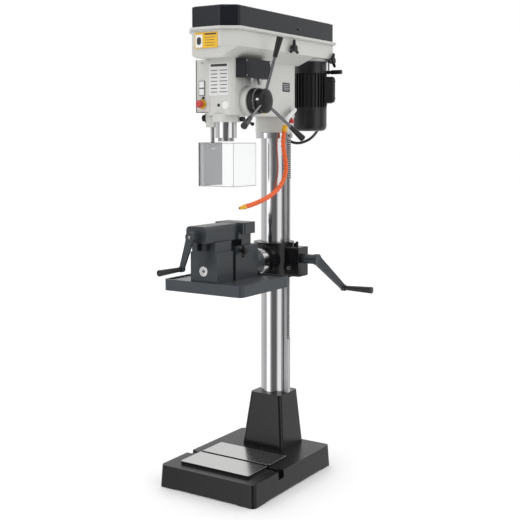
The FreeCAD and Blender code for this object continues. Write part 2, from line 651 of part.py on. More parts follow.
def motor_pulley():
    profile = step_profile("shaft_radius", "motor_step", "-step_change", 0, "4*step_height",
                           [("shaft_radius", -5), (18, -5), (18, 0)])
    return turned("motor_pulley", "Z", ("motor_x", "motor_y", "drive_low"), profile)


def drive_belts():
    """The front belt sits on the third step up, the rear belt on the second."""
    depth, change, lift = cell("belt_depth"), cell("step_change"), (cell("step_height") - cell("belt_width")) / 2
    spindle, idler = (0, cell("spindle_y")), (cell("idler_x"), cell("idler_y"))
    motor = (cell("motor_x"), cell("motor_y"))
    front = belt_loop(spindle, cell("spindle_step") - 2 * change - depth, idler, cell("idler_step") + 2 * change - depth,
                      cell("belt_width"))
    rear = belt_loop(idler, cell("idler_step") + change - depth, motor, cell("motor_step") - change - depth,
                     cell("belt_width"))
    pieces = []
    for name, shape, level in (("front_belt", front, 2), ("rear_belt", rear, 1)):
        belt = shaped(name, shape)
        locate(belt, (0, 0, "drive_low+%d*step_height+%s" % (level, lift)))
        pieces.append(belt)
    return grouped("drive_belts", pieces)


# ---------------------------------------------------------------- motor
def motor_mount():
    disc = rod("mount_disc", "Z", ("motor_x", "motor_y", "motor_top"), "mount_radius", "pan_low-gap-motor_top")
    lug = block("mount_lug", (75, 104), (228, 254), ("motor_top", "pan_low-gap"))
    bore = rod("mount_bore", "Z", ("motor_x", "motor_y", "motor_top-6"), "shaft_radius+2", 20)
    thread = rod("mount_thread", "X", (84, 238, "motor_top+5.8"), 4.06, 21)
    pivot = rod("mount_pivot", "Z", (99, 248, "motor_top-46"), 4, 47)
    return trimmed("motor_mount", joined("mount_solid", [disc, lug, pivot]), [bore, thread])


def motor_body():
    core = rod("motor_core", "Z", ("motor_x", "motor_y", "motor_low"), "motor_core", "motor_top-motor_low")
    band = rod("motor_band", "Z", ("motor_x", "motor_y", "motor_fins_top"), "motor_radius-1",
               "motor_top-motor_fins_top")
    foot = rod("motor_foot", "Z", ("motor_x", "motor_y", "motor_low"), "motor_radius-1", 8)
    centre = Vector(cell("motor_x"), cell("motor_y"), cell("motor_low"))
    reach = cell("motor_radius") - cell("motor_core") + 3
    fins = []
    for i in range(int(cell("fin_count"))):
        turn = 360 * i / cell("fin_count")
        fin = Part.makeBox(reach, cell("fin_width"), cell("motor_fins_top") - cell("motor_low"),
                           Vector(cell("motor_core") - 3, -cell("fin_width") / 2, 0))
        fin.Placement = Placement(centre, Rotation(Vector(0, 0, 1), turn)).multiply(fin.Placement)
        fins.append(fin)
    ribs = shaped("motor_fins", fins[0].fuse(fins[1:]))
    whole = joined("motor_solid", [core, band, foot, ribs])
    return trimmed("motor_body", whole, [
        rod("rotor_room", "Z", ("motor_x", "motor_y", "motor_low+10"), "rotor_radius+8", "motor_top-motor_low-20"),
        rod("rotor_bore", "Z", ("motor_x", "motor_y", "motor_low-1"), "shaft_radius+fit", "motor_top-motor_low+2")])


def motor_fan_cover():
    outside = turned("fan_outside", "Z", ("motor_x", "motor_y", "fan_low"), [
        (0, 0), ("motor_radius-fan_round", 0), ("motor_radius-fan_round*0.45", "fan_round*0.16"),
        ("motor_radius-fan_round*0.16", "fan_round*0.45"), ("motor_radius", "fan_round"),
        ("motor_radius", "motor_low-fan_low"), (0, "motor_low-fan_low")])
    inside = rod("fan_inside", "Z", ("motor_x", "motor_y", "fan_low+fan_round*0.6"), "motor_radius-fan_round*0.6",
                 "motor_low-fan_low")
    vents = []
    for ring, count in ((18, 6), (32, 12)):
        for i in range(count):
            angle = 2 * math.pi * i / count
            at = ("motor_x+%.4f" % (ring * math.cos(angle)), "motor_y+%.4f" % (ring * math.sin(angle)), "fan_low-1")
            vents.append(rod("vent_%d_%d" % (ring, i), "Z", at, 4.5, "fan_round+2"))
    return trimmed("motor_fan_cover", outside, [inside] + vents)


def motor_shaft():
    """The shaft with its rotor core inside the motor and its fan under it."""
    low = 1304
    return turned("motor_shaft", "Z", ("motor_x", "motor_y", low), [
        (0, 0), ("shaft_radius-3", 0), ("shaft_radius-3", 10), ("motor_radius-fan_round", 10),
        ("motor_radius-fan_round", 26), ("shaft_radius", 26), ("shaft_radius", "motor_low+14-%d" % low),
        ("rotor_radius", "motor_low+14-%d" % low), ("rotor_radius", "motor_top-16-%d" % low),
        ("shaft_radius", "motor_top-16-%d" % low), ("shaft_radius", "drive_low+4*step_height+5-%d" % low),
        (0, "drive_low+4*step_height+5-%d" % low)])


def beside_motor(out, across, z):
    """A place given in the terminal box's own directions: out from the motor's axis, and across the box."""
    way = math.radians(cell("box_turn"))
    return (cell("motor_x") + out * math.cos(way) - across * math.sin(way),
            cell("motor_y") + out * math.sin(way) + across * math.cos(way), z)


def terminal_box():
    turn = Rotation(Vector(0, 0, 1), cell("box_turn"))
    box = doc.addObject("PartDesign::Body", "box_casting")
    pad = box.newObject("PartDesign::Pad", "box_pad")
    pad.Profile = sketched(box, "box_outline", [("motor_core-4", "-box_half"), ("box_out", "-box_half"),
                                                ("box_out", "box_half"), ("motor_core-4", "box_half")])
    bind(pad, Length="box_high-box_low")
    doc.recompute()
    rounded(box, pad, 13, lambda edge: edge.BoundBox.XMin > cell("box_out") - 1)
    locate(box, ("motor_x", "motor_y", "box_low"), turn)
    clear = rod("box_clear", "Z", ("motor_x", "motor_y", "box_low-1"), "motor_radius+fit", "box_high-box_low+2")
    gland = aimed("box_gland", "Part::Cylinder", beside_motor(78, cell("box_half") - 2, 1430),
                  beside_motor(78, cell("box_half") + 13, 1430), Radius=8.5)
    return trimmed("terminal_box", joined("box_solid", [box, gland]), [clear])


def front_lock_knob():
    knob = lobed_knob("front_lobes", "X", ("cover_half+6", -65, "pan_low+18"), 12, 27, 17, 3, 180)
    stem = rod("front_stem", "X", ("cover_half-pan_inset-pan_wall-4", -65, "pan_low+18"), 5, "pan_inset+pan_wall+12")
    return joined("front_lock_knob", [knob, stem])


def rear_lock_knob():
    knob = lobed_knob("rear_lobes", "X", (113, 238, "motor_top+5.8"), 12, 27, 17, 3, 160)
    stem = rod("rear_stem", "X", (86, 238, "motor_top+5.8"), 4, 30)
    return joined("rear_lock_knob", [knob, stem])


def tension_lever():
    hub = tube("tension_hub", "Z", (99, 248, "motor_top-45"), 8, 4.06, 13)
    arm = rod("tension_arm", "X", (105, 248, "motor_top-38.5"), 4, 10)
    grip = rod("tension_grip", "X", (112, 248, "motor_top-38.5"), 8.5, 44)
    return joined("tension_lever", [hub, arm, grip])


# ---------------------------------------------------------------- quill, spindle and feed
def quill():
    sleeve = tube("quill_sleeve", "Z", (0, "spindle_y", "quill_low"), "quill_radius", "quill_bore",
                  "quill_top-quill_low")
    flat = block("quill_flat_cut", (-20, 20), ("spindle_y+quill_flat", "spindle_y+quill_radius+2"),
                 ("quill_low+45", "quill_top+1"))
    module, pitch = cell("feed_module"), math.pi * cell("feed_module")
    below = 3
    gaps = rack_spaces(module, int(cell("feed_spaces")), 3, 30)
    spaces = shaped("quill_spaces", Part.makeCompound(gaps))
    spaces.Placement = Placement(
        Vector(0, cell("spindle_y") + cell("quill_flat"), cell("feed_z") - below * pitch), Rotation(Vector(0, 0, 1), 90))
    return trimmed("quill", sleeve, [flat, spaces])


def spindle_bearings():
    """Two bearings pressed in the quill's ends."""
    return grouped("spindle_bearings", [
        tube("bearing_low", "Z", (0, "spindle_y", "quill_low+6"), "quill_bore", "spindle_nose+fit", "bearing_height"),
        tube("bearing_high", "Z", (0, "spindle_y", "quill_top-6-bearing_height"), "quill_bore",
             "spindle_radius+fit", "bearing_height")])


def spindle():
    nose = "quill_low+6+bearing_height+14-spindle_low"
    body = turned("spindle_body", "Z", (0, "spindle_y", "spindle_low"), [
        (0, 0), ("spindle_nose+8", 0), ("spindle_nose+8", "quill_low-gap-spindle_low"),
        ("spindle_nose", "quill_low-gap-spindle_low"), ("spindle_nose", nose), ("spindle_radius", nose),
        ("spindle_radius", "spindle_top-spindle_low"), (0, "spindle_top-spindle_low")])
    taper = cone("spindle_taper", "Z", (0, "spindle_y", "spindle_low-1"), "taper_radius", "taper_radius*0.7",
                 "taper_depth")
    return trimmed("spindle", body, [taper])


def feed_shaft():
    """The feed pinion with its two journals; one tooth points at the quill's rack."""
    width, journal = cell("feed_face"), cell("feed_journal")
    gear = shaped("feed_gear", gear_blank(cell("feed_module"), int(cell("feed_teeth")), width, 0))
    gear.Placement = Placement(Vector(-width / 2, cell("spindle_y") + cell("quill_flat") - cell("feed_module")
                                      + cell("feed_module") * cell("feed_teeth") / 2, cell("feed_z")),
                               Rotation(Vector(0, 0, 1), Vector(1, 0, 0)).multiply(Rotation(Vector(0, 0, 1), -90)))
    neck = rod("feed_neck", "X", ("-head_half+1", FEED_Y, "feed_z"), "feed_journal*0.6", "2*head_half")
    left = rod("feed_left", "X", ("-head_half+1", FEED_Y, "feed_z"), "feed_journal", "head_half-27")
    right = rod("feed_right", "X", (26, FEED_Y, "feed_z"), "feed_journal", DIAL_END + "+hub_width-26")
    return joined("feed_shaft", [gear, neck, left, right])


def feed_hub():
    end = "(dial_width+hub_width+cap_width)"
    return turned("feed_hub", "X", (HUB_START, FEED_Y, "feed_z"), [
        ("feed_journal", 0), ("hub_sleeve", 0), ("hub_sleeve", "dial_width+gap"), ("hub_radius", "dial_width+gap"),
        ("hub_radius", "dial_width+hub_width"), ("cap_radius", "dial_width+hub_width+1.5"),
        ("cap_radius", "dial_width+hub_width+5"), ("cap_radius*0.86", end + "-5"), ("cap_radius*0.5", end + "-1"),
        (0, end), (0, "dial_width+hub_width+0.2"), ("feed_journal", "dial_width+hub_width+0.2")])


def depth_dial():
    return turned("depth_dial", "X", (HUB_START, FEED_Y, "feed_z"), [
        ("hub_sleeve+fit", 0), ("dial_radius-2", 0), ("dial_radius", 2), ("dial_radius", "dial_width*0.62"),
        ("dial_radius-3", "dial_width*0.7"), ("dial_radius-3", "dial_width"), ("hub_sleeve+fit", "dial_width")])


def feed_spokes(start, end):
    """Start and end points of the three spokes, at two distances along them from the hub's axis."""
    centre = Vector(cell("head_half") + cell("feed_boss_reach") + cell("gap") + cell("dial_width")
                    + cell("hub_width") * 0.55,
                    cell("spindle_y") + cell("quill_flat") - cell("feed_module")
                    + cell("feed_module") * cell("feed_teeth") / 2, cell("feed_z"))
    lean = math.radians(cell("arm_lean"))
    for i in range(3):
        angle = math.radians(cell("arm_phase") + 120 * i)
        way = Vector(math.sin(lean), math.cos(lean) * math.sin(angle), math.cos(lean) * math.cos(angle))
        yield i, centre + way * start, centre + way * end


def feed_arms():
    reach = cell("arm_reach")
    return grouped("feed_arms", [aimed("feed_arm_%d" % i, "Part::Cylinder", a, b, Radius="arm_radius")
                                 for i, a, b in feed_spokes(28, reach - 8)])


def feed_grips():
    """Tapered grips, bored for the arms' ends."""
    reach, grip = cell("arm_reach"), cell("grip_length")
    bores = [aimed("grip_bore_%d" % i, "Part::Cylinder", a, b, Radius="arm_radius")
             for i, a, b in feed_spokes(reach - grip - 1, reach - 8)]
    cones = [aimed("grip_cone_%d" % i, "Part::Cone", a, b, Radius1="grip_thin", Radius2="grip_thick")
             for i, a, b in feed_spokes(reach - grip, reach)]
    return grouped("feed_grips", [trimmed("feed_grip_%d" % i, c, [b]) for i, (c, b) in enumerate(zip(cones, bores))])


def quill_lock():
    """The clamp lever at the nose boss: a threaded stem with an arm and a ball."""
    pivot = (48, -300, 1328)
    tip = (56, -236, 1312)
    return joined("quill_lock", [
        rod("lock_hub", "X", (49, pivot[1], pivot[2]), 9, 14),
        aimed("lock_arm", "Part::Cone", (56, -300, 1328), tip, Radius1=5.5, Radius2=4),
        ball("lock_ball", tip, 7)])


def ball(name, at, radius):
    made = doc.addObject("Part::Sphere", name)
    bind(made, Radius=radius)
    locate(made, at)
    return made


# ---------------------------------------------------------------- switchgear
def control_box():
    outer = prism("panel_outside", "Z", [("-panel_half_low", "-head_front"), ("-head_half", "-head_front"),
                                         ("-head_half", "-head_front+panel_depth"),
                                         ("-panel_half_low", "-head_front+panel_depth")],
                  "panel_low", "panel_high-panel_low")
    inner = block("panel_inside", ("-panel_half_low+panel_wall", "-head_half+1"),
                  ("-head_front+panel_wall", "-head_front+panel_depth-panel_wall"),
                  ("panel_low+panel_wall", "panel_high-panel_wall"))
    bezel = joined("button_bezels", [
        block("bezel_%s" % name, ("button_x-button_side/2-2", "button_x+button_side/2+2"),
              ("-head_front-1.5", "-head_front+panel_wall"), ("%s-button_side/2-2" % z, "%s+button_side/2+2" % z))
        for name, z in (("start", "start_z"), ("stop", "stop_z"))])
    holes = [block("button_hole_%s" % name, ("button_x-button_side/2-gap", "button_x+button_side/2+gap"),
                   ("-head_front-3", "-head_front+panel_wall+1"),
                   ("%s-button_side/2-gap" % z, "%s+button_side/2+gap" % z))
             for name, z in (("start", "start_z"), ("stop", "stop_z"))]
    holes.append(rod("estop_hole", "Y", ("estop_x", "-head_front-1", "estop_z"), 6.3, "panel_wall+2"))
    return trimmed("control_box", joined("panel_solid", [trimmed("panel_shell", outer, [inner]), bezel]), holes)


def push_button(name, z):
    key = prism(name + "_key", "Y", [
        ("button_x-button_side/2", z + "-button_side/2"), ("button_x+button_side/2", z + "-button_side/2"),
        ("button_x+button_side/2", z + "+button_side/2"), ("button_x-button_side/2", z + "+button_side/2")],
        "-head_front-button_proud", "button_proud+panel_wall+4")
    stem = rod(name + "_stem", "Y", ("button_x", "-head_front+panel_wall", z), 4, 20)
    return joined(name, [key, stem])


def estop_collar():
    return tube("estop_collar", "Y", ("estop_x", "-head_front-4", "estop_z"), "estop_collar", 6.3, 4)


def emergency_stop():
    """A mushroom head on its stem, turned about the axis that it is pressed along."""
    return turned("emergency_stop", "Y", ("estop_x", "-head_front-27", "estop_z"), [
        (0, 0), ("estop_radius*0.6", 0.8), ("estop_radius*0.88", 3), ("estop_radius", 7), ("estop_radius", 11),
        ("estop_radius-2", 14), (9, 16), (6, 17), (6, 45), (0, 45)])


def switch_box():
    outer = prism("switch_outside", "Z", [("head_half", "-switch_front"), ("head_half+switch_reach", "-switch_front"),
                                          ("head_half+switch_reach", "-switch_back"), ("head_half", "-switch_back")],
                  "switch_low", "switch_high-switch_low", 2,
                  lambda edge: upright(edge) and edge.BoundBox.XMin > cell("head_half") + 5)
    inner = block("switch_inside", ("head_half-1", "head_half+switch_reach-4"), ("-switch_front+4", "-switch_back-4"),
                  ("switch_low+4", "switch_high-4"))
    return trimmed("switch_box", outer, [inner])


def cable_glands():
    """Two glands under the switch box and the one in the head's rear wall."""
    pieces = [cone("rear_gland", "Y", (CABLE[-1][0], "head_back", CABLE[-1][2]), 9, 6, 12)]
    for name, y in (("front", -281), ("rear", -228)):
        nut = prism("gland_nut_" + name, "Z", [("head_half+20+%.3f" % (10 * math.cos(a)), "%.3f" % (y + 10 * math.sin(a)))
                                               for a in (math.pi / 3 * i for i in range(6))], "switch_low-8", 8)
        pieces.append(joined("gland_" + name, [nut, rod("gland_sleeve_" + name, "Z", ("head_half+20", y, "switch_low-20"),
                                                        6.5, 14)]))
    return grouped("cable_glands", pieces)


# ---------------------------------------------------------------- guard
def guard_rod():
    return joined("guard_rod", [
        rod("guard_rod_bar", "Z", ("guard_x", "guard_y", "guard_high-22"), "guard_rod", "clamp_high-2-guard_high+22"),
        rod("guard_rod_foot", "Z", ("guard_x", "guard_y", "guard_high-24"), "guard_rod+2.5", 6)])


def guard_side_plate():
    plate = block("guard_plate", ("-guard_half", "-guard_half+guard_sheet"), ("-guard_front", "-guard_back"),
                  ("guard_low", "guard_high"))
    bracket = prism("guard_bracket", "Z", [("-guard_half+1", "guard_y-14"), ("guard_x+12", "guard_y-14"),
                                           ("guard_x+12", "guard_y+14"), ("-guard_half+1", "guard_y+14")],
                    "guard_high-17.5", 17.5)
    studs = [rod("guard_stud_%d" % i, "X", ("-guard_half-5", "-guard_front+11", "guard_low+%d" % z), 5, 6)
             for i, z in enumerate((18, 77, 136))]
    bore = rod("guard_swing_bore", "Z", ("guard_x", "guard_y", "guard_high-19"), "guard_rod+fit", 22)
    return trimmed("guard_side_plate", joined("guard_side", [plate, bracket] + studs), [bore])


def guard_shield():
    """The clear sheet: a short return inside the side plate, the front and the right side."""
    inner = "guard_sheet"
    return prism("guard_shield", "Z", [
        ("-guard_half+guard_sheet", "-guard_front"), ("guard_half", "-guard_front"), ("guard_half", "-guard_back"),
        ("guard_half-" + inner, "-guard_back"), ("guard_half-" + inner, "-guard_front+" + inner),
        ("-guard_half+2*guard_sheet", "-guard_front+" + inner), ("-guard_half+2*guard_sheet", "-guard_front+22"),
        ("-guard_half+guard_sheet", "-guard_front+22")], "guard_low", "guard_high-guard_low-1", 1.2,
        lambda edge: upright(edge) and edge.BoundBox.XMin > 0)


def guard_knob():
    z = "(clamp_low+clamp_high)/2+8"
    knob = lobed_knob("guard_lobes", "-X", ("guard_x-26", "guard_y", z), 10, 12, 15, 5, 90)
    stem = rod("guard_stem", "X", ("guard_x-30", "guard_y", z), 4, "30-guard_rod-gap")
    return joined("guard_knob", [knob, stem])


# ---------------------------------------------------------------- coolant line and motor cable
HOSE = [(85, -60, 1306), (84, -67, 1277), (83.8, -72, 1245), (84.8, -67, 1211), (86, -57, 1178), (86.2, -53, 1144),
        (84.8, -66, 1108), (81.5, -100, 1074), (76, -150, 1050), (71, -206, 1034), (66, -262, 1023), (63, -296, 1019)]
HOSE_THICK = 18
CABLE = [(76.8, 290.2, 1430), (51.4, 329.2, 1429), (28.1, 350.5, 1393.7), (20.5, 336.4, 1344.6), (21.3, 313.2, 1306),
         (21.3, 272.7, 1274), (17.5, 223.4, 1251.2), (-8.5, 179.9, 1238.8), (-41.7, 157.7, 1257.4),
         (-60.6, 158.4, 1297.3), (-46.1, 168.3, 1338.6), (-29.3, 155.7, 1365.7), (-18, 129.1, 1380), (-18, 88, 1380)]
CABLE_THICK = 11


def coolant_tap():
    """A pipe from the head's wall to a valve and down to the hose's fitting."""
    return joined("coolant_tap", [
        rod("tap_flange", "X", ("head_half", 22, 1368), 11, 8),
        ball("tap_bend", (78, 22, 1368), 8),
        rod("tap_inlet", "X", ("head_half", 22, 1368), 7, 18),
        aimed("tap_pipe", "Part::Cylinder", (78, 22, 1368), (86, -48, 1334), Radius=8),
        ball("tap_elbow", (86, -48, 1334), 9),
        aimed("tap_fitting", "Part::Cylinder", (86, -48, 1334), HOSE[0], Radius=9.5),
        rod("tap_bonnet", "Z", (84, -12, 1338), 5, 14)])


def coolant_knob():
    stem = rod("knob_stem", "Z", (84, -12, 1326), 3, 11.7)
    return joined("coolant_knob", [stem, rod("knob_wheel", "Z", (84, -12, 1318), 10, 14)])


def coolant_hose():
    return route_tube("coolant_hose", HOSE, HOSE_THICK)


def coolant_nozzle():
    start, end = HOSE[-1], (59.6, -324, 1015.5)
    bore = aimed("nozzle_bore", "Part::Cylinder", start, (59, -330, 1015), Radius=3)
    return trimmed("coolant_nozzle", aimed("nozzle_cone", "Part::Cone", start, end, Radius1=9, Radius2=5), [bore])


def motor_cable():
    return route_tube("motor_cable", CABLE, CABLE_THICK)


# ---------------------------------------------------------------- rack, bracket and elevating gear
def rack():
    bar = block("rack_bar", ("rack_back", "rack_face"), ("-rack_width/2", "rack_width/2"), ("foot_top+gap", "rack_top"))
    module, pitch = cell("gear_module"), math.pi * cell("gear_module")
    count = int(cell("rack_teeth_count"))
    first = cell("gear_z") - round((cell("gear_z") - cell("rack_teeth_low")) / pitch) * pitch
    gaps = shaped("rack_gaps", Part.makeCompound(rack_spaces(module, count, 2, cell("rack_width") + 4)))
    gaps.Placement = Placement(Vector(cell("rack_face"), 0, first), Rotation())
    return trimmed("rack", bar, [gaps])


def table_bracket():
    collar = rod("bracket_collar", "Z", (0, 0, "bracket_low"), "bracket_radius", "bracket_high-bracket_low")
    boss = rod("bracket_boss", "Y", (0, "-boss_front", "trunnion_z"), "boss_radius", "boss_front-30")
    box = prism("gearbox", "X", [("-gearbox_half", "gearbox_low"), ("gearbox_half", "gearbox_low"),
                                 ("gearbox_half", "gearbox_high"), ("-gearbox_half", "gearbox_high")],
                30, "gearbox_out-30", 5, lambda edge: upright(edge))
    ear = rod("gear_ear", "Y", (GEAR_X, "-gearbox_half-3", "gear_z"), "gear_shaft+7", 10)
    rear = block("clamp_ears", (-24, 24), (60, 100), ("bracket_low+20", "bracket_high-20"))
    length = "bracket_high-bracket_low+2"
    return trimmed("table_bracket", joined("bracket_solid", [collar, boss, box, ear, rear]), [
        rod("bracket_bore", "Z", (0, 0, "bracket_low-1"), "column_radius+fit", length),
        block("rack_way", (40, "rack_face+0.5"), ("-rack_width/2-0.5", "rack_width/2+0.5"),
              ("bracket_low-1", "bracket_high+1")),
        block("clamp_split", (-2, 2), (40, 105), ("bracket_low-1", "bracket_high+1")),
        rod("gear_room", "Y", (GEAR_X, "-gear_width/2-1", "gear_z"), "gear_module*gear_teeth/2+gear_module+0.6",
            "gear_width+2"),
        rod("gear_bore", "Y", (GEAR_X, "-gearbox_half-6", "gear_z"), "gear_shaft+fit", "2*gearbox_half+12"),
        rod("worm_bore", "X", (58, 0, WORM_Z), "worm_radius+fit", "gearbox_out-57")])


def elevation_gear():
    """The pinion that climbs the rack, on its shaft; a hexagon socket in the front end."""
    width, teeth = cell("gear_width"), int(cell("gear_teeth"))
    centre = Vector(cell("rack_face") - cell("gear_module") + cell("gear_module") * teeth / 2, 0, cell("gear_z"))
    gear = shaped("climbing_gear", gear_blank(cell("gear_module"), teeth, width, math.pi))
    gear.Placement = Placement(centre + Vector(0, width / 2, 0), Rotation(Vector(1, 0, 0), 90))
    shaft = rod("gear_axle", "Y", (GEAR_X, "-gearbox_half-4", "gear_z"), "gear_shaft", "2*gearbox_half+3")
    socket = prism("gear_socket", "Y", [(GEAR_X + "+%.3f" % (4.6 * math.cos(a)), "gear_z+%.3f" % (4.6 * math.sin(a)))
                                        for a in (math.pi / 3 * i for i in range(6))], "-gearbox_half-6", 8)
    return trimmed("elevation_gear", joined("gear_and_axle", [gear, shaft]), [socket])


def crank_shaft():
    """The worm on its shaft, with the ring that bears on the gearbox."""
    start, turns = cell("rack_face") + 2, 5
    profile = [(0, 0), ("worm_radius", 0)]
    for i in range(turns):
        z = "%.2f+%d*worm_turn" % (6, i)
        profile += [("worm_radius", z), ("worm_root", z + "+1.4"), ("worm_root", z + "+4.2"),
                    ("worm_radius", z + "+5.6")]
    end = "crank_hub_end-8-%g" % start
    profile += [("worm_radius", "gearbox_out+gap-%g" % start), (14, "gearbox_out+gap-%g" % start),
                (14, "gearbox_out+gap+4-%g" % start), ("worm_radius", "gearbox_out+gap+4-%g" % start),
                ("worm_radius", end), (0, end)]
    return turned("crank_shaft", "X", (start, 0, WORM_Z), profile)


def table_crank():
    """Hub, arm and grip pin of the crank that raises the table."""
    hub = rod("crank_hub", "X", ("gearbox_out+gap+4.2", 0, WORM_Z), "crank_hub-3", "crank_hub_end-gearbox_out-gap-16")
    head_end = rod("crank_head", "X", ("crank_hub_end-15", 0, WORM_Z), "crank_hub", 15)
    start = Vector(cell("crank_hub_end") - 8, 0, cell("gear_z") + cell("worm_rise"))
    end = Vector(cell("crank_x"), cell("crank_y"), cell("crank_z"))
    arm = flat_arm("crank_arm", start, end, (36, 22), (14, 11), Vector(1, 0, 0))
    eye = rod("crank_eye", "X", ("crank_x-8", "crank_y", "crank_z"), 12.5, 16)
    pin = rod("crank_pin", "X", ("crank_x", "crank_y", "crank_z"), 5, "crank_grip_end-crank_x-6")
    bore = rod("crank_bore", "X", ("gearbox_out", 0, WORM_Z), "worm_radius", "crank_hub_end-8-gearbox_out")
    return trimmed("table_crank", joined("crank_solid", [hub, head_end, arm, eye, pin]), [bore])


def flat_arm(name, start, end, wide, thick, thin):
    """A flat arm that tapers from start to end; its thin way is as near the given axis as its slant lets it."""
    made, way = lever_bar(name, start, end, wide, thick)
    along = Vector(way).normalize()
    side = along.cross(thin).normalize()
    across = side.cross(along)
    frame = FreeCAD.Matrix(side.x, along.x, across.x, 0, side.y, along.y, across.y, 0,
                           side.z, along.z, across.z, 0, 0, 0, 0, 1)
    made.Placement = Placement(start, Rotation(frame))
    return made


def crank_grip(name, axis, at, length):
    """A tapered grip that spins on its pin."""
    grip = cone(name + "_cone", axis, at, 9, 13, length)
    bore_at = list(at)
    place = "XYZ".index(axis)
    bore_at[place] = "(%s)-1" % at[place]
    return trimmed(name, grip, [rod(name + "_bore", axis, bore_at, "5+fit", "(%s)-3" % length)])


def table_crank_grip():
    return crank_grip("table_crank_grip", "X", ("crank_x+8+gap", "crank_y", "crank_z"), "crank_grip_end-crank_x-8")


def table_lock():
    """The small lever on the gearbox that clamps the bracket."""
    return joined("table_lock", [
        rod("table_lock_hub", "Z", (88, 18, "gearbox_high+gap"), 9, 10),
        aimed("table_lock_arm", "Part::Cone", (88, 18, 860), (112, -16, 868), Radius1=5, Radius2=4),
        ball("table_lock_ball", (112, -16, 868), 6)])


# ---------------------------------------------------------------- trunnion, table and vise
def trunnion():
    """The ground ring between bracket and vise, with the spigot and clamp bolt through the vise."""
    socket = prism("bolt_socket", "Y", [("%.3f" % (6.4 * math.cos(a)), "trunnion_z+%.3f" % (6.4 * math.sin(a)))
                                        for a in (math.pi / 3 * i for i in range(6))], "-vise_front-2", 9)
    return trimmed("trunnion", joined("trunnion_solid", [
        rod("trunnion_ring", "Y", (0, "-trunnion_front", "trunnion_z"), "trunnion_radius",
            "trunnion_front-boss_front"),
        rod("trunnion_spigot", "Y", (0, "-spigot_front", "trunnion_z"), "spigot_radius",
            "spigot_front-trunnion_front+1"),
        rod("trunnion_bolt", "Y", (0, "-vise_front-1", "trunnion_z"), "bolt_radius", "vise_front-spigot_front+2")]),
        [socket])


def table():
    plate = prism("table_plate", "Z", [("-table_half", "-table_front"), ("table_half", "-table_front"),
                                       ("table_half", "-table_back"), ("-table_half", "-table_back")],
                  "table_low", "table_high-table_low", "table_corner")
    recess = prism("table_recess_cut", "Z", [
        ("-table_half+table_rim", "-table_front+table_rim"), ("table_half-table_rim", "-table_front+table_rim"),
        ("table_half-table_rim", "-table_back-table_rim"), ("-table_half+table_rim", "-table_back-table_rim")],
        "table_high-table_recess", "table_recess+1", "table_corner-table_rim")
    cuts = [recess]
    for place, y in (("front", "-table_front+80"), ("rear", "-table_back-80")):
        cuts.append(block("table_slot_" + place, ("-table_half+27", "table_half-27"),
                          ("%s-slot_width/2" % y, "%s+slot_width/2" % y), ("table_low-1", "table_low+18")))
        cuts.append(block("table_slot_foot_" + place, ("-table_half+27", "table_half-27"),
                          ("%s-slot_wide/2" % y, "%s+slot_wide/2" % y), ("table_low+10", "table_low+18")))
    return trimmed("table", plate, cuts)


def vise_body():
    floor = "table_high-table_recess"
    front = block("vise_front_block", ("-vise_half", "vise_half"), ("-vise_front", "-block_back"),
                  (floor, "rail_high-36"))
    rails = block("vise_rails", ("-vise_half+6", "vise_half-6"), ("-vise_front", "-block_back"),
                  ("rail_high-37", "rail_high"))
    middle = block("vise_middle", ("-vise_half+9", "vise_half-9"), ("-block_back-1", "-rear_front+1"),
                   (floor, "rail_high-40"))
    rear = block("vise_rear_block", ("-vise_half", "vise_half"), ("-rear_front", "-rear_back"), (floor, "rear_high"))
    round_end = trimmed("vise_round_end", rod("vise_round", "Y", (0, "-rear_back-5", "trunnion_z"), "rear_round",
                                              "rear_back+5-trunnion_front-gap"),
                        [block("vise_round_cut", (-90, 90), ("-rear_back-6", "-100"),
                               ("trunnion_z-90", "table_high+gap"))])
    neck = block("vise_neck", (-44, 44), ("-jaw_front", "-jaw_back-4"), ("rear_high-1", "jaw_low+1"))
    jaw = block("vise_fixed_jaw", ("-jaw_half", "jaw_half"), ("-jaw_front", "-jaw_back"), ("jaw_low", "jaw_high"))
    post = block("vise_nut_post", (-12, 12), ("-vise_front+1", "-post_back"), ("rail_high-38", "screw_z+13"))
    keel_way = block("keel_way", ("-keel_half-0.5", "keel_half+0.5"), ("-vise_front-1", "-block_back+1"),
                     ("rail_high-32", "rail_high+1"))
    body = trimmed("vise_casting", joined("vise_solid", [front, rails, middle, rear, round_end, neck, jaw]), [
        keel_way,
        rod("spigot_bore", "Y", (0, "-spigot_front-1", "trunnion_z"), "spigot_radius+fit",
            "spigot_front-trunnion_front+3"),
        rod("bolt_bore", "Y", (0, "-vise_front-1", "trunnion_z"), "bolt_radius+fit", "vise_front-spigot_front+3")])
    return trimmed("vise_body", joined("vise_with_post", [body, post]), [
        rod("nut_bore", "Y", (0, "-vise_front-2", "screw_z"), "screw_radius+fit", "vise_front-post_back+6")])


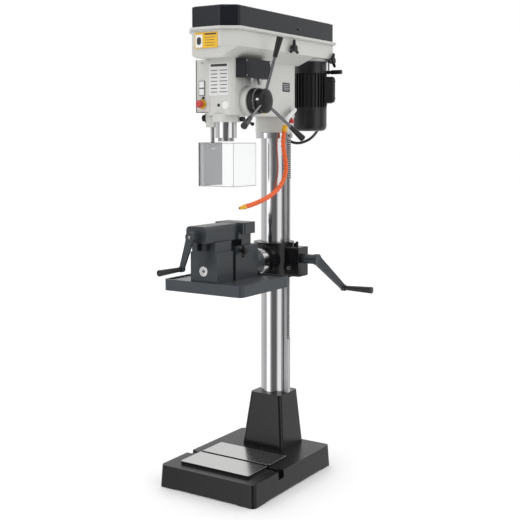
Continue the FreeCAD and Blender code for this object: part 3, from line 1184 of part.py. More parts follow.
def vise_slide():
    """The moving jaw with its round-shouldered slide, hollow underneath for the screw and its nut."""
    slide = prism("slide_arch", "Y", [("-slide_half", "rail_high+0.5"), ("slide_half", "rail_high+0.5"),
                                      ("slide_half", "jaw_high-1"), ("-slide_half", "jaw_high-1")],
                  "-slide_front", "slide_front-jaw_front-jaw_gap-moving_jaw+1", "slide_corner",
                  lambda edge: upright(edge) and edge.BoundBox.YMin > cell("screw_z"))
    nose = rod("slide_nose", "Y", (0, "-screw_face", "screw_z"), 17, "screw_face-slide_front+1")
    keel = block("slide_keel", ("-keel_half", "keel_half"), ("-slide_front+26", "-block_back-8"),
                 ("rail_high-31", "rail_high+1"))
    jaw = block("moving_jaw", ("-jaw_half", "jaw_half"), ("-jaw_front-jaw_gap-moving_jaw", "-jaw_front-jaw_gap"),
                ("jaw_low", "jaw_high"))
    web = block("moving_web", ("-slide_half-8", "slide_half+8"), ("-jaw_front-jaw_gap-moving_jaw-14",
                "-jaw_front-jaw_gap-2"), ("rail_high+0.5", "jaw_low+8"))
    channel = block("slide_channel", ("-channel_half", "channel_half"),
                    ("-slide_front+12", "-jaw_front-jaw_gap-moving_jaw-6"), ("rail_high-40", "screw_z+14"))
    screw_hole = rod("slide_screw_hole", "Y", (0, "-screw_face-1", "screw_z"), "screw_radius+fit",
                     "screw_face-slide_front+16")
    return trimmed("vise_slide", joined("slide_solid", [slide, nose, keel, jaw, web]), [channel, screw_hole])


def vise_screw():
    """The screw with the crank pinned on its front end, and the collar that pulls the slide back."""
    bar = rod("screw_bar", "Y", (0, "-screw_face-gap-1", "screw_z"), "screw_radius", "screw_face-345")
    collar = rod("screw_collar", "Y", (0, "-slide_front+12+gap", "screw_z"), "screw_radius+4", 5)
    face = "-screw_face-gap"
    hub = rod("vise_hub_round", "Y", (0, face + "-22", "screw_z"), "vise_hub", 22)
    start = Vector(0, -cell("screw_face") - 16, cell("screw_z"))
    end = Vector(cell("vise_crank_x"), -cell("screw_face") - 22, cell("vise_crank_z"))
    arm = flat_arm("vise_arm", start, end, (28, 18), (11, 9), Vector(0, 1, 0))
    eye = rod("vise_eye", "Y", ("vise_crank_x", face + "-30", "vise_crank_z"), 10.5, 15)
    pin = rod("vise_pin", "Y", ("vise_crank_x", "-vise_grip_end+6", "vise_crank_z"), 5,
              "vise_grip_end-screw_face-gap-26")
    return joined("vise_screw", [bar, collar, hub, arm, eye, pin])


def vise_crank_grip():
    reach = "(vise_grip_end-screw_face-31)"
    grip = cone("vise_grip_cone", "Y", ("vise_crank_x", "-vise_grip_end", "vise_crank_z"), 11, 8, reach)
    return trimmed("vise_crank_grip", grip, [
        rod("vise_grip_bore", "Y", ("vise_crank_x", "-vise_grip_end+5.5", "vise_crank_z"), "5+fit", reach)])


def swivel_lock():
    knob = lobed_knob("swivel_lobes", "X", ("vise_half+9", -312, 864), 11, 21, 16, 3, 90)
    stem = rod("swivel_stem", "X", ("vise_half+gap", -312, 864), 5, 12)
    return joined("swivel_lock", [knob, stem])


NODES = [
    base, column_foot, column, rack_collar, fasteners, head, pulley_housing, belt_cover, cover_hinge_pins,
    spindle_pulley, idler_pulley, motor_pulley, drive_belts, motor_mount, motor_body, motor_fan_cover, motor_shaft,
    terminal_box, front_lock_knob, rear_lock_knob, tension_lever, quill, spindle_bearings, spindle, feed_shaft,
    feed_hub, depth_dial, feed_arms, feed_grips, quill_lock, control_box, estop_collar, emergency_stop, switch_box,
    cable_glands, guard_rod, guard_side_plate, guard_shield, guard_knob, coolant_tap, coolant_knob, coolant_hose,
    coolant_nozzle, motor_cable, rack, table_bracket, elevation_gear, crank_shaft, table_crank,
    table_crank_grip, table_lock, trunnion, table, vise_body, vise_slide, vise_screw, vise_crank_grip,
    swivel_lock,
]


def build():
    made = {}
    for maker in NODES:
        made[maker.__name__] = maker()
    for name, z in (("start_button", "start_z"), ("stop_button", "stop_z")):
        made[name] = push_button(name, z)
    doc.recompute()
    for thing in doc.Objects:
        if "Invalid" in thing.State or "Error" in thing.State:
            raise RuntimeError("%s failed: %s" % (thing.Name, thing.State))
    os.makedirs("parts", exist_ok=True)
    for name, piece in made.items():
        piece.Label = name
        shape = piece.Shape
        if shape.isNull() or not shape.isValid():
            raise RuntimeError(name + " has no valid shape")
        shape.exportStep("parts/%s.step" % name)
    print("%d nodes" % len(made))


build()
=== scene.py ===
import math

import bmesh
import bpy
from mathutils import Matrix, Vector


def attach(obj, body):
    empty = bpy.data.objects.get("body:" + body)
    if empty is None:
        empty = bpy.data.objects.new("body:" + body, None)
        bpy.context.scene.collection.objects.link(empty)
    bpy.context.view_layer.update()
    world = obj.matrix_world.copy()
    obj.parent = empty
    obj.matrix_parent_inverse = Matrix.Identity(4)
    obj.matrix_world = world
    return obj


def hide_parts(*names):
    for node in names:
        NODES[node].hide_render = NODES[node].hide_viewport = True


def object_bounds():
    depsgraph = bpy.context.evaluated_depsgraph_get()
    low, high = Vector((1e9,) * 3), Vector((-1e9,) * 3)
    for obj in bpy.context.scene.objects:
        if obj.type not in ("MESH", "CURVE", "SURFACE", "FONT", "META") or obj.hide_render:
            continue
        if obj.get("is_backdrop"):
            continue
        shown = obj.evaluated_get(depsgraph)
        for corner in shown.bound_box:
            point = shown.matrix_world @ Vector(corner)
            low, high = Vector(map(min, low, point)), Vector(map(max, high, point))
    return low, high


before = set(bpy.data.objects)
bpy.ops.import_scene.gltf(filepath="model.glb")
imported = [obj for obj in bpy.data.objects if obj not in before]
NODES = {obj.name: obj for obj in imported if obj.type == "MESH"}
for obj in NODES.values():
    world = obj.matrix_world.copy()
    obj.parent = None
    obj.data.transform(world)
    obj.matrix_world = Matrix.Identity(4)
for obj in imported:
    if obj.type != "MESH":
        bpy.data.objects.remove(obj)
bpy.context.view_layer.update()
scene = bpy.context.scene
collection = scene.collection

# ---------------------------------------------------------------- camera
YAW, PITCH = 32.88, 4.41
camera = bpy.data.objects.new("camera", bpy.data.cameras.new("camera"))
collection.objects.link(camera)
camera.location = (1.9292, -3.0841, 1.2549)
camera.rotation_euler = (math.radians(90 - PITCH), 0, math.radians(YAW))
camera.data.lens = 65.72
camera.data.sensor_width = 36
camera.data.shift_y = -0.09
scene.camera = camera


# ---------------------------------------------------------------- mesh helpers
def link(name, data, material, body):
    """A new object with one material, riding on a body."""
    thing = bpy.data.objects.new(name, data)
    collection.objects.link(thing)
    if material:
        data.materials.append(material)
    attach(thing, body)
    return thing


def made(name, bm, material, body, smooth=35):
    """Turns a bmesh into a piece, smooth except at edges sharper than smooth degrees."""
    bmesh.ops.recalc_face_normals(bm, faces=bm.faces)
    for face in bm.faces:
        face.smooth = True
    for edge in bm.edges:
        if len(edge.link_faces) == 2 and edge.calc_face_angle(0) > math.radians(smooth):
            edge.smooth = False
    mesh = bpy.data.meshes.new(name)
    bm.to_mesh(mesh)
    bm.free()
    return link(name, mesh, material, body)


def facing(normal, up=(0, 0, 1)):
    """Rotation whose Z is normal and whose Y is as near up as it can be."""
    z = Vector(normal).normalized()
    y = Vector(up) - z * Vector(up).dot(z)
    if y.length < 1e-6:
        y = Vector((0, 1, 0)) - z * z.y
    y.normalize()
    return Matrix((y.cross(z), y, z)).transposed().to_4x4()


def plate(bm, at, normal, width, height, thick, corner, up=(0, 0, 1), bevel=0.0003):
    """A sheet with rounded corners, lying on the plane through at, standing proud along normal."""
    made_verts = []
    steps = 6
    corner = max(corner, 1e-5)
    for cx, cy, start in ((1, 1, 0), (-1, 1, 90), (-1, -1, 180), (1, -1, 270)):
        for k in range(steps + 1):
            turn = math.radians(start + 90 * k / steps)
            made_verts.append(bm.verts.new((cx * (width / 2 - corner) + corner * math.cos(turn),
                                            cy * (height / 2 - corner) + corner * math.sin(turn), 0)))
    face = bm.faces.new(made_verts)
    raised = bmesh.ops.extrude_face_region(bm, geom=[face])["geom"]
    top = [v for v in raised if isinstance(v, bmesh.types.BMVert)]
    bmesh.ops.translate(bm, verts=top, vec=(0, 0, thick))
    if bevel:
        rim = [e for e in bm.edges if e.verts[0] in top and e.verts[1] in top]
        made_bevel = bmesh.ops.bevel(bm, geom=rim, offset=min(bevel, thick * 0.8), segments=2, affect="EDGES")
        top += [v for v in made_bevel["verts"] if v.is_valid]
    placed = {v for v in made_verts + top if v.is_valid}
    placement = Matrix.Translation(at) @ facing(normal, up)
    bmesh.ops.transform(bm, matrix=placement, verts=list(placed))


def lathe(bm, at, axis, profile, segments=48):
    """Turns (distance along axis, radius) points about the axis through at."""
    placement = Matrix.Translation(at) @ facing(axis, (0, 1, 0.01))
    rings = []
    for along, radius in profile:
        if radius < 1e-7:
            rings.append([bm.verts.new(placement @ Vector((0, 0, along)))])
        else:
            rings.append([bm.verts.new(placement @ Vector((radius * math.cos(t), radius * math.sin(t), along)))
                          for t in (2 * math.pi * k / segments for k in range(segments))])
    for low, high in zip(rings, rings[1:]):
        for k in range(segments):
            n = (k + 1) % segments
            if len(low) == 1:
                bm.faces.new((low[0], high[n], high[k]))
            elif len(high) == 1:
                bm.faces.new((low[k], low[n], high[0]))
            else:
                bm.faces.new((low[k], low[n], high[n], high[k]))


def socket_screw(bm, at, axis, radius, high):
    """A cap screw's head with its hexagonal recess."""
    hexa = radius * 0.55
    placement = Matrix.Translation(at) @ facing(axis, (0, 1, 0.01))
    lathe(bm, at, axis, [(0, 0), (0, radius), (high * 0.8, radius), (high, radius * 0.86), (high, hexa * 1.12)], 24)
    inner = [[bm.verts.new(placement @ Vector((hexa * math.cos(k * math.pi / 3),
                                               hexa * math.sin(k * math.pi / 3), z)))
              for k in range(6)] for z in (high, high * 0.35)]
    for k in range(6):
        n = (k + 1) % 6
        bm.faces.new((inner[0][n], inner[0][k], inner[1][k], inner[1][n]))
    bm.faces.new(inner[1])
    lathe(bm, at, axis, [(high, hexa * 1.12), (high - 1e-5, hexa * 0.9)], 24)


# ---------------------------------------------------------------- materials
def finish(name, colour, rough, metal=0.0, coat=0.0, coat_rough=0.12, mottle=0.05, mottle_scale=6.0, grain=0.0,
           grain_scale=700.0, stretch=(1, 1, 1), spread=0.08, painted_shade=0.3, edge=None, edge_size=0.0015, wear_and_highlight=0.4,
           machined=None, specular=0.5):
    """A procedural finish. Object coordinates are metres in the shared frame, so every scale is a real size.

    mottle is slow colour variation, grain is fine relief, painted_shade is painted shade darkening corners and
    hollows, edge is the colour that edges turn to, part rubbed-through wear and part painted highlight, at
    wear_and_highlight strength, and machined is (mask builder, colour, roughness, metal) for faces cut after painting,
    and on the rack for painted shade between the teeth."""
    material = bpy.data.materials.new(name)
    material.use_nodes = True
    tree = material.node_tree
    tree.nodes.clear()

    def node(kind, **settings):
        n = tree.nodes.new(kind)
        for key, value in settings.items():
            setattr(n, key, value)
        return n

    def join(a, b):
        tree.links.new(a, b)

    def maths(operation, a, b=None):
        n = node("ShaderNodeMath", operation=operation)
        for socket, value in zip(n.inputs, (a, b)):
            if value is None:
                continue
            if isinstance(value, (int, float)):
                socket.default_value = value
            else:
                join(value, socket)
        return n.outputs[0]

    def mixed(factor, a, b):
        n = node("ShaderNodeMix", data_type="RGBA")
        for socket, value in ((n.inputs[0], factor), (n.inputs[6], a), (n.inputs[7], b)):
            if isinstance(value, (int, float)):
                socket.default_value = value
            elif isinstance(value, (tuple, list)):
                socket.default_value = (*value, 1)
            else:
                join(value, socket)
        return n.outputs[2]

    def noise(scale, detail=3, stretched=(1, 1, 1)):
        source = coordinates
        if tuple(stretched) != (1, 1, 1):
            mapping = node("ShaderNodeMapping")
            mapping.inputs["Scale"].default_value = stretched
            join(coordinates, mapping.inputs["Vector"])
            source = mapping.outputs[0]
        n = node("ShaderNodeTexNoise")
        n.inputs["Scale"].default_value = scale
        n.inputs["Detail"].default_value = detail
        join(source, n.inputs["Vector"])
        return n.outputs[0]

    coordinates = node("ShaderNodeTexCoord").outputs["Object"]
    shader = node("ShaderNodeBsdfPrincipled")
    output = node("ShaderNodeOutputMaterial")
    join(shader.outputs[0], output.inputs[0])
    shader.inputs["Coat Weight"].default_value = coat
    shader.inputs["Coat Roughness"].default_value = coat_rough
    shader.inputs["Specular IOR Level"].default_value = specular

    slow = noise(mottle_scale, 4)
    dark = tuple(c * (1 - 2 * mottle) for c in colour)
    light = tuple(min(1, c * (1 + 2 * mottle)) for c in colour)
    paint = mixed(slow, dark, light)
    blotch = noise(mottle_scale * 9, 5)
    rough_value = maths("ADD", maths("MULTIPLY", maths("SUBTRACT", blotch, 0.5), spread * 2), rough)

    rounded = node("ShaderNodeBevel", samples=4)
    rounded.inputs["Radius"].default_value = edge_size
    # edges shift to the edge colour: part rubbed-through wear, part painted highlight
    if edge:
        bare = node("ShaderNodeNewGeometry")
        dot = node("ShaderNodeVectorMath", operation="DOT_PRODUCT")
        join(rounded.outputs[0], dot.inputs[0])
        join(bare.outputs["Normal"], dot.inputs[1])
        corner = maths("MULTIPLY", maths("SUBTRACT", 1.0, dot.outputs["Value"]), 5.0)
        wear_and_highlight_mask = node("ShaderNodeMapRange")
        join(maths("ADD", corner, maths("MULTIPLY", maths("SUBTRACT", noise(90, 6), 0.62), 1.6)), wear_and_highlight_mask.inputs[0])
        wear_and_highlight_mask.inputs[1].default_value, wear_and_highlight_mask.inputs[2].default_value = 0.15, 0.9
        wear_and_highlight_mask.inputs[3].default_value, wear_and_highlight_mask.inputs[4].default_value = 0.0, wear_and_highlight
        paint = mixed(wear_and_highlight_mask.outputs[0], paint, edge)
    # painted shade: corners and hollows found by ambient occlusion are darkened towards a dark copy of the colour,
    # unevenly
    if painted_shade:
        shade = node("ShaderNodeAmbientOcclusion", samples=4)
        shade.inputs["Distance"].default_value = 0.02
        hollow = maths("MULTIPLY", maths("SUBTRACT", 1.0, shade.outputs["AO"]), painted_shade)
        hollow = maths("MULTIPLY", hollow, maths("ADD", noise(40, 3), 0.4))
        paint = mixed(hollow, paint, tuple(c * 0.35 for c in colour))
    metal_value = None
    height = noise(grain_scale, 3, stretch) if grain else None
    # faces cut after painting get their own finish; on the rack this mask paints shade into the tooth gaps
    if machined:
        mask = machined[0](node, join, maths, coordinates)
        cut = noise(5, 3, (160, 4, 160))
        bright = mixed(cut, tuple(c * 0.82 for c in machined[1]), machined[1])
        paint = mixed(mask, paint, bright)
        metal_value = maths("MULTIPLY", mask, machined[3])
        lane = node("ShaderNodeMix", data_type="FLOAT")
        join(mask, lane.inputs[0])
        join(rough_value, lane.inputs[2])
        join(maths("ADD", maths("MULTIPLY", cut, 0.12), machined[2] - 0.06), lane.inputs[3])
        rough_value = lane.outputs[0]
    join(paint, shader.inputs["Base Color"])
    join(rough_value, shader.inputs["Roughness"])
    if metal_value is None:
        shader.inputs["Metallic"].default_value = metal
    else:
        join(metal_value, shader.inputs["Metallic"])
    if height is not None:
        bump = node("ShaderNodeBump")
        bump.inputs["Strength"].default_value = 1.0
        bump.inputs["Distance"].default_value = grain
        join(height, bump.inputs["Height"])
        join(rounded.outputs[0], bump.inputs["Normal"])
        join(bump.outputs[0], shader.inputs["Normal"])
    else:
        join(rounded.outputs[0], shader.inputs["Normal"])
    return material


# heights and places that the masks below work from, in metres
PAD_EDGE = 0.0897
TRAY_RIM = 0.7635
LEVEL_ENOUGH = 0.9
RACK_START, RACK_LOW, RACK_TOOTH_X = 0.774, 0.492, 0.0632
RACK_PITCH = math.pi * 0.0025


def pad_and_slot(node, join, maths, coordinates):
    """The base's ground pad, from just below its top edge up."""
    split = node("ShaderNodeSeparateXYZ")
    join(coordinates, split.inputs[0])
    return maths("GREATER_THAN", split.outputs[2], PAD_EDGE)


def tray_floor(node, join, maths, coordinates):
    """The table's milled floor inside its rim, and its flat underside face."""
    split = node("ShaderNodeSeparateXYZ")
    join(coordinates, split.inputs[0])
    normal = node("ShaderNodeNewGeometry")
    turned = node("ShaderNodeVectorTransform", vector_type="NORMAL", convert_from="WORLD", convert_to="OBJECT")
    join(normal.outputs["Normal"], turned.inputs[0])
    up = node("ShaderNodeSeparateXYZ")
    join(turned.outputs[0], up.inputs[0])
    level = maths("GREATER_THAN", maths("ABSOLUTE", up.outputs[2]), LEVEL_ENOUGH)
    inside = maths("LESS_THAN", split.outputs[2], TRAY_RIM)
    return maths("MULTIPLY", level, inside)


def tooth_gap_shade(node, join, maths, coordinates):
    """Painted shade between the rack's teeth."""
    split = node("ShaderNodeSeparateXYZ")
    join(coordinates, split.inputs[0])
    turns = maths("DIVIDE", maths("SUBTRACT", split.outputs[2], RACK_START), RACK_PITCH)
    near_gap = maths("GREATER_THAN", maths("ABSOLUTE", maths("SUBTRACT", maths("FRACT", turns), 0.5)), 0.2)
    toothed = maths("MULTIPLY", maths("GREATER_THAN", split.outputs[2], RACK_LOW),
                    maths("GREATER_THAN", split.outputs[0], RACK_TOOTH_X))
    return maths("MULTIPLY", near_gap, toothed)


GREY = (0.60, 0.60, 0.57)
paint_grey = finish("grey_enamel", GREY, 0.34, coat=0.25, coat_rough=0.2, mottle=0.02, grain=0.00004, grain_scale=320,
                    painted_shade=0.45, edge=(0.72, 0.72, 0.70), wear_and_highlight=0.35)
paint_black = finish("black_casting_enamel", (0.006, 0.006, 0.007), 0.3, coat=0.08, coat_rough=0.12, mottle=0.12,
                     grain=0.00012, grain_scale=190, edge=(0.10, 0.10, 0.11), wear_and_highlight=0.35, specular=0.28,
                     machined=(pad_and_slot, (0.66, 0.66, 0.65), 0.2, 1.0))
paint_foot = finish("black_foot_enamel", (0.007, 0.007, 0.008), 0.26, coat=0.12, coat_rough=0.1, mottle=0.12,
                    grain=0.00016, grain_scale=150, edge=(0.10, 0.10, 0.11), wear_and_highlight=0.3, specular=0.3)
paint_cover = finish("charcoal_cover_enamel", (0.009, 0.011, 0.015), 0.26, coat=0.08, coat_rough=0.14, mottle=0.06,
                     grain=0.00004, grain_scale=260, edge=(0.28, 0.29, 0.31), edge_size=0.0025, wear_and_highlight=0.7,
                     specular=0.3)
paint_table = finish("charcoal_table_enamel", (0.042, 0.050, 0.058), 0.42, specular=0.35, coat=0.1, mottle=0.08,
                     grain=0.0001, grain_scale=260, edge=(0.2, 0.21, 0.22), wear_and_highlight=0.35,
                     machined=(tray_floor, (0.20, 0.21, 0.22), 0.38, 0.9))
paint_vise = finish("charcoal_vise_enamel", (0.030, 0.036, 0.042), 0.36, specular=0.35, coat=0.12, mottle=0.1,
                    grain=0.00012, grain_scale=240, edge=(0.22, 0.23, 0.24), wear_and_highlight=0.45)
motor_black = finish("motor_enamel", (0.010, 0.010, 0.011), 0.36, coat=0.1, mottle=0.1, grain=0.00006,
                     grain_scale=420, edge=(0.08, 0.08, 0.085), wear_and_highlight=0.35)
ground_steel = finish("ground_steel", (0.62, 0.62, 0.63), 0.16, metal=1.0, mottle=0.03, mottle_scale=3, grain=0.000004,
                      grain_scale=60, stretch=(1, 1, 40), spread=0.03, painted_shade=0.15)
chrome = finish("polished_steel", (0.66, 0.66, 0.67), 0.12, metal=1.0, mottle=0.02, grain=0.000004, grain_scale=70,
                stretch=(1, 1, 30), spread=0.03, painted_shade=0.2)
# a darker copy of the polished steel for the feed arms: painted shade standing in for their dark reflections
chrome_with_painted_shade = finish("chrome_with_painted_shade", (0.20, 0.20, 0.21), 0.14, metal=1.0, mottle=0.05, grain=0.000004, grain_scale=70,
                     stretch=(1, 1, 30), spread=0.03, painted_shade=0.3)
machined_steel = finish("machined_steel", (0.42, 0.42, 0.43), 0.3, metal=1.0, mottle=0.06, mottle_scale=20,
                        grain=0.00001, grain_scale=900, painted_shade=0.4)
# the rack: painted shade darkens its tooth gaps and hollows
rack_steel = finish("rack_steel", (0.46, 0.46, 0.47), 0.3, metal=1.0, mottle=0.08, mottle_scale=14, grain=0.00001,
                    grain_scale=500, painted_shade=0.8, machined=(tooth_gap_shade, (0.02, 0.02, 0.02), 0.5, 0.0))
black_plastic = finish("black_plastic", (0.008, 0.008, 0.009), 0.42, specular=0.35, mottle=0.08, mottle_scale=30,
                       grain=0.00003, grain_scale=1400, edge=(0.05, 0.05, 0.052), wear_and_highlight=0.3, spread=0.06)
grip_plastic = finish("grip_plastic", (0.014, 0.014, 0.015), 0.33, specular=0.4, mottle=0.08, mottle_scale=30,
                      grain=0.00002, grain_scale=1500, spread=0.06)
box_plastic = finish("switch_box_plastic", (0.007, 0.008, 0.012), 0.3, specular=0.25, mottle=0.06, grain=0.00002,
                     grain_scale=1200, edge=(0.07, 0.07, 0.08), wear_and_highlight=0.3, spread=0.05)
white_plastic = finish("white_plastic", (0.78, 0.78, 0.77), 0.3, mottle=0.02, grain=0.00001, grain_scale=900)
red_plastic = finish("red_plastic", (0.52, 0.045, 0.035), 0.32, coat=0.2, mottle=0.05, grain=0.00001, grain_scale=900)
yellow_plastic = finish("yellow_plastic", (0.80, 0.42, 0.02), 0.34, mottle=0.05, grain=0.00001, grain_scale=900)
orange_plastic = finish("orange_plastic", (0.86, 0.13, 0.02), 0.38, mottle=0.05, mottle_scale=40, grain=0.00002,
                        grain_scale=1200, painted_shade=0.5)
aluminium = finish("turned_aluminium", (0.55, 0.55, 0.56), 0.28, metal=1.0, mottle=0.04, grain=0.00001, grain_scale=90,
                   stretch=(1, 1, 14), painted_shade=0.5)
belt_rubber = finish("belt_rubber", (0.018, 0.018, 0.018), 0.62, mottle=0.15, mottle_scale=30, grain=0.00006,
                     grain_scale=900)
cable_rubber = finish("cable_rubber", (0.012, 0.012, 0.012), 0.45, mottle=0.1, grain=0.00002, grain_scale=900)


def clear_sheet():
    """Polycarbonate: nearly clear, with fine scratches."""
    material = finish("clear_polycarbonate", (0.93, 0.95, 0.96), 0.06, mottle=0.01, grain=0.000006, grain_scale=260,
                      stretch=(1, 1, 9), spread=0.03, painted_shade=0, edge_size=0.0006)
    shader = next(n for n in material.node_tree.nodes if n.type == "BSDF_PRINCIPLED")
    shader.inputs["Transmission Weight"].default_value = 0.0
    shader.inputs["Alpha"].default_value = 0.22
    shader.inputs["IOR"].default_value = 1.585
    return material


polycarbonate = clear_sheet()

LOOKS = {
    "base": paint_black, "column_foot": paint_foot, "column": ground_steel, "rack_collar": chrome,
    "fasteners": machined_steel, "head": paint_grey, "pulley_housing": paint_grey, "belt_cover": paint_cover,
    "cover_hinge_pins": machined_steel, "spindle_pulley": aluminium, "idler_pulley": aluminium,
    "motor_pulley": aluminium, "drive_belts": belt_rubber, "motor_mount": paint_grey, "motor_body": motor_black,
    "motor_fan_cover": motor_black, "motor_shaft": machined_steel, "terminal_box": motor_black,
    "front_lock_knob": black_plastic, "rear_lock_knob": black_plastic, "tension_lever": black_plastic,
    "quill": chrome, "spindle_bearings": machined_steel, "spindle": machined_steel, "feed_shaft": machined_steel,
    "feed_hub": black_plastic, "depth_dial": black_plastic, "feed_arms": chrome_with_painted_shade, "feed_grips": grip_plastic,
    "quill_lock": black_plastic, "control_box": paint_grey, "estop_collar": yellow_plastic,
    "emergency_stop": red_plastic, "switch_box": box_plastic, "cable_glands": machined_steel,
    "guard_rod": machined_steel, "guard_side_plate": box_plastic, "guard_shield": polycarbonate,
    "guard_knob": black_plastic, "coolant_tap": white_plastic, "coolant_knob": red_plastic,
    "coolant_hose": orange_plastic, "coolant_nozzle": yellow_plastic, "motor_cable": cable_rubber,
    "rack": rack_steel, "table_bracket": paint_foot, "elevation_gear": machined_steel, "crank_shaft": machined_steel,
    "table_crank": paint_vise, "table_crank_grip": grip_plastic, "table_lock": black_plastic,
    "trunnion": ground_steel, "table": paint_table, "vise_body": paint_vise, "vise_slide": paint_vise,
    "vise_screw": paint_vise, "vise_crank_grip": grip_plastic, "swivel_lock": black_plastic,
    "start_button": white_plastic, "stop_button": white_plastic,
}
for node_name, look in LOOKS.items():
    slots = NODES[node_name].material_slots
    if not slots:
        NODES[node_name].data.materials.append(look)
    for entry in slots:
        entry.material = look


# ---------------------------------------------------------------- hose and cable
def route(name, points, depth=0.0):
    """A smooth NURBS line with these control points, in metres."""
    curve = bpy.data.curves.new(name, "CURVE")
    curve.dimensions = "3D"
    line = curve.splines.new("NURBS")
    line.points.add(len(points) - 1)
    for control, point in zip(line.points, points):
        control.co = (*point, 1)
    line.order_u = 3
    line.use_endpoint_u = True
    line.resolution_u = 24
    curve.bevel_depth = depth
    curve.bevel_resolution = 6
    curve.use_fill_caps = True
    return curve


def line_points(points, step):
    """Evenly spaced points along the route's NURBS line."""
    bare = bpy.data.objects.new("line", route("line", points))
    mesh = bpy.data.meshes.new_from_object(bare)
    dense = [v.co.copy() for v in mesh.vertices]
    bpy.data.objects.remove(bare)
    total = sum((b - a).length for a, b in zip(dense, dense[1:]))
    count = round(total / step)
    spaced, gone, k = [dense[0]], 0.0, 0
    for n in range(1, count):
        want = total * n / count
        while gone + (dense[k + 1] - dense[k]).length < want:
            gone += (dense[k + 1] - dense[k]).length
            k += 1
        part = (want - gone) / (dense[k + 1] - dense[k]).length
        spaced.append(dense[k].lerp(dense[k + 1], part))
    return spaced + [dense[-1]]


def beaded(name, points, pitch, profile, material, segments=28):
    """A chain of ball-and-skirt links along the route: profile is (part of a pitch, radius)."""
    per_link = len(profile)
    centres = line_points(points, pitch / per_link)
    bm = bmesh.new()
    side = Vector((1, 0, 0))
    rings = []
    for k, centre in enumerate(centres):
        ahead = (centres[min(k + 1, len(centres) - 1)] - centres[max(k - 1, 0)]).normalized()
        side = (side - ahead * side.dot(ahead)).normalized()
        across = ahead.cross(side)
        radius = profile[k % per_link]
        rings.append([bm.verts.new(centre + (side * math.cos(t) + across * math.sin(t)) * radius)
                      for t in (2 * math.pi * j / segments for j in range(segments))])
    for low, high in zip(rings, rings[1:]):
        for j in range(segments):
            bm.faces.new((low[j], low[(j + 1) % segments], high[(j + 1) % segments], high[j]))
    bm.faces.new(rings[0])
    bm.faces.new(rings[-1])
    return made(name, bm, material, "frame", 50), centres


HOSE = [(0.085, -0.060, 1.306), (0.084, -0.067, 1.277), (0.0838, -0.072, 1.245), (0.0848, -0.067, 1.211),
        (0.086, -0.057, 1.178), (0.0862, -0.053, 1.144), (0.0848, -0.066, 1.108), (0.0815, -0.100, 1.074),
        (0.076, -0.150, 1.050), (0.071, -0.206, 1.034), (0.066, -0.262, 1.023), (0.063, -0.296, 1.019)]
CABLE = [(0.0768, 0.2902, 1.430), (0.0514, 0.3292, 1.429), (0.0281, 0.3505, 1.3937), (0.0205, 0.3364, 1.3446),
         (0.0213, 0.3132, 1.306), (0.0213, 0.2727, 1.274), (0.0175, 0.2234, 1.2512), (-0.0085, 0.1799, 1.2388),
         (-0.0417, 0.1577, 1.2574), (-0.0606, 0.1584, 1.2973), (-0.0461, 0.1683, 1.3386), (-0.0293, 0.1557, 1.3657),
         (-0.018, 0.1291, 1.380), (-0.018, 0.088, 1.380)]
LINK = [0.0068, 0.0072, 0.0082, 0.0088, 0.0090, 0.0088, 0.0086, 0.0070]
hose, hose_line = beaded("coolant_hose_links", HOSE, 0.0165, LINK, orange_plastic)
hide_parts("coolant_hose")
cable = link("motor_lead", route("motor_lead", CABLE, 0.0055), cable_rubber, "frame")
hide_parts("motor_cable")

# ---------------------------------------------------------------- labels, screws and small fittings
FRONT, RIGHT = (0, -1, 0), (1, 0, 0)
# faces that the fittings lie on, and what they line up with, in metres
HEAD_FRONT, HEAD_SIDE = -0.362, 0.060
HOUSING_FRONT = -0.4402
PANEL_FRONT, PANEL_X = -0.3635, -0.073
FEED_Y, FEED_Z, DIAL_RADIUS = -0.2745, 1.391, 0.04585
TERMINAL_Z, GLAND_Z = 1.451, 1.430
LEAD_END = (-0.018, 0.0915, 1.380)
SHEET_FRONT, SHEET_SIDE = -0.3831, 0.0751
SHEET_HIGH, SHEET_LOW, SHEET_MIDDLE = 1.2440, 1.0934, 1.1690
label_pale = finish("pale_label", (0.74, 0.74, 0.73), 0.3, mottle=0.02, grain=0.000005, grain_scale=900, painted_shade=0.1)
label_white = finish("white_label", (0.82, 0.82, 0.81), 0.3, mottle=0.02, grain=0.000005, grain_scale=900, painted_shade=0.1)
label_yellow = finish("yellow_label", (0.80, 0.47, 0.02), 0.32, mottle=0.03, grain=0.000005, grain_scale=900,
                      painted_shade=0.1)
label_ink = finish("label_ink", (0.03, 0.03, 0.034), 0.35, mottle=0.04, grain=0.000005, grain_scale=900, painted_shade=0.1)
black_trim = finish("black_trim_rubber", (0.012, 0.012, 0.012), 0.55, mottle=0.08, grain=0.00001, grain_scale=900)


def sheets(name, material, body, pieces):
    """Thin plates in one piece: (place, normal, width, height, thickness, corner)."""
    bm = bmesh.new()
    for at, normal, width, height, thick, corner in pieces:
        plate(bm, Vector(at), normal, width, height, thick, corner)
    return made(name, bm, material, body)


def turnings(name, material, body, pieces):
    """Turned details in one piece: (place, axis, profile)."""
    bm = bmesh.new()
    for at, axis, profile in pieces:
        lathe(bm, Vector(at), axis, profile)
    return made(name, bm, material, body)


def screws(name, material, body, pieces):
    bm = bmesh.new()
    for at, axis, radius, high in pieces:
        socket_screw(bm, Vector(at), axis, radius, high)
    return made(name, bm, material, body)


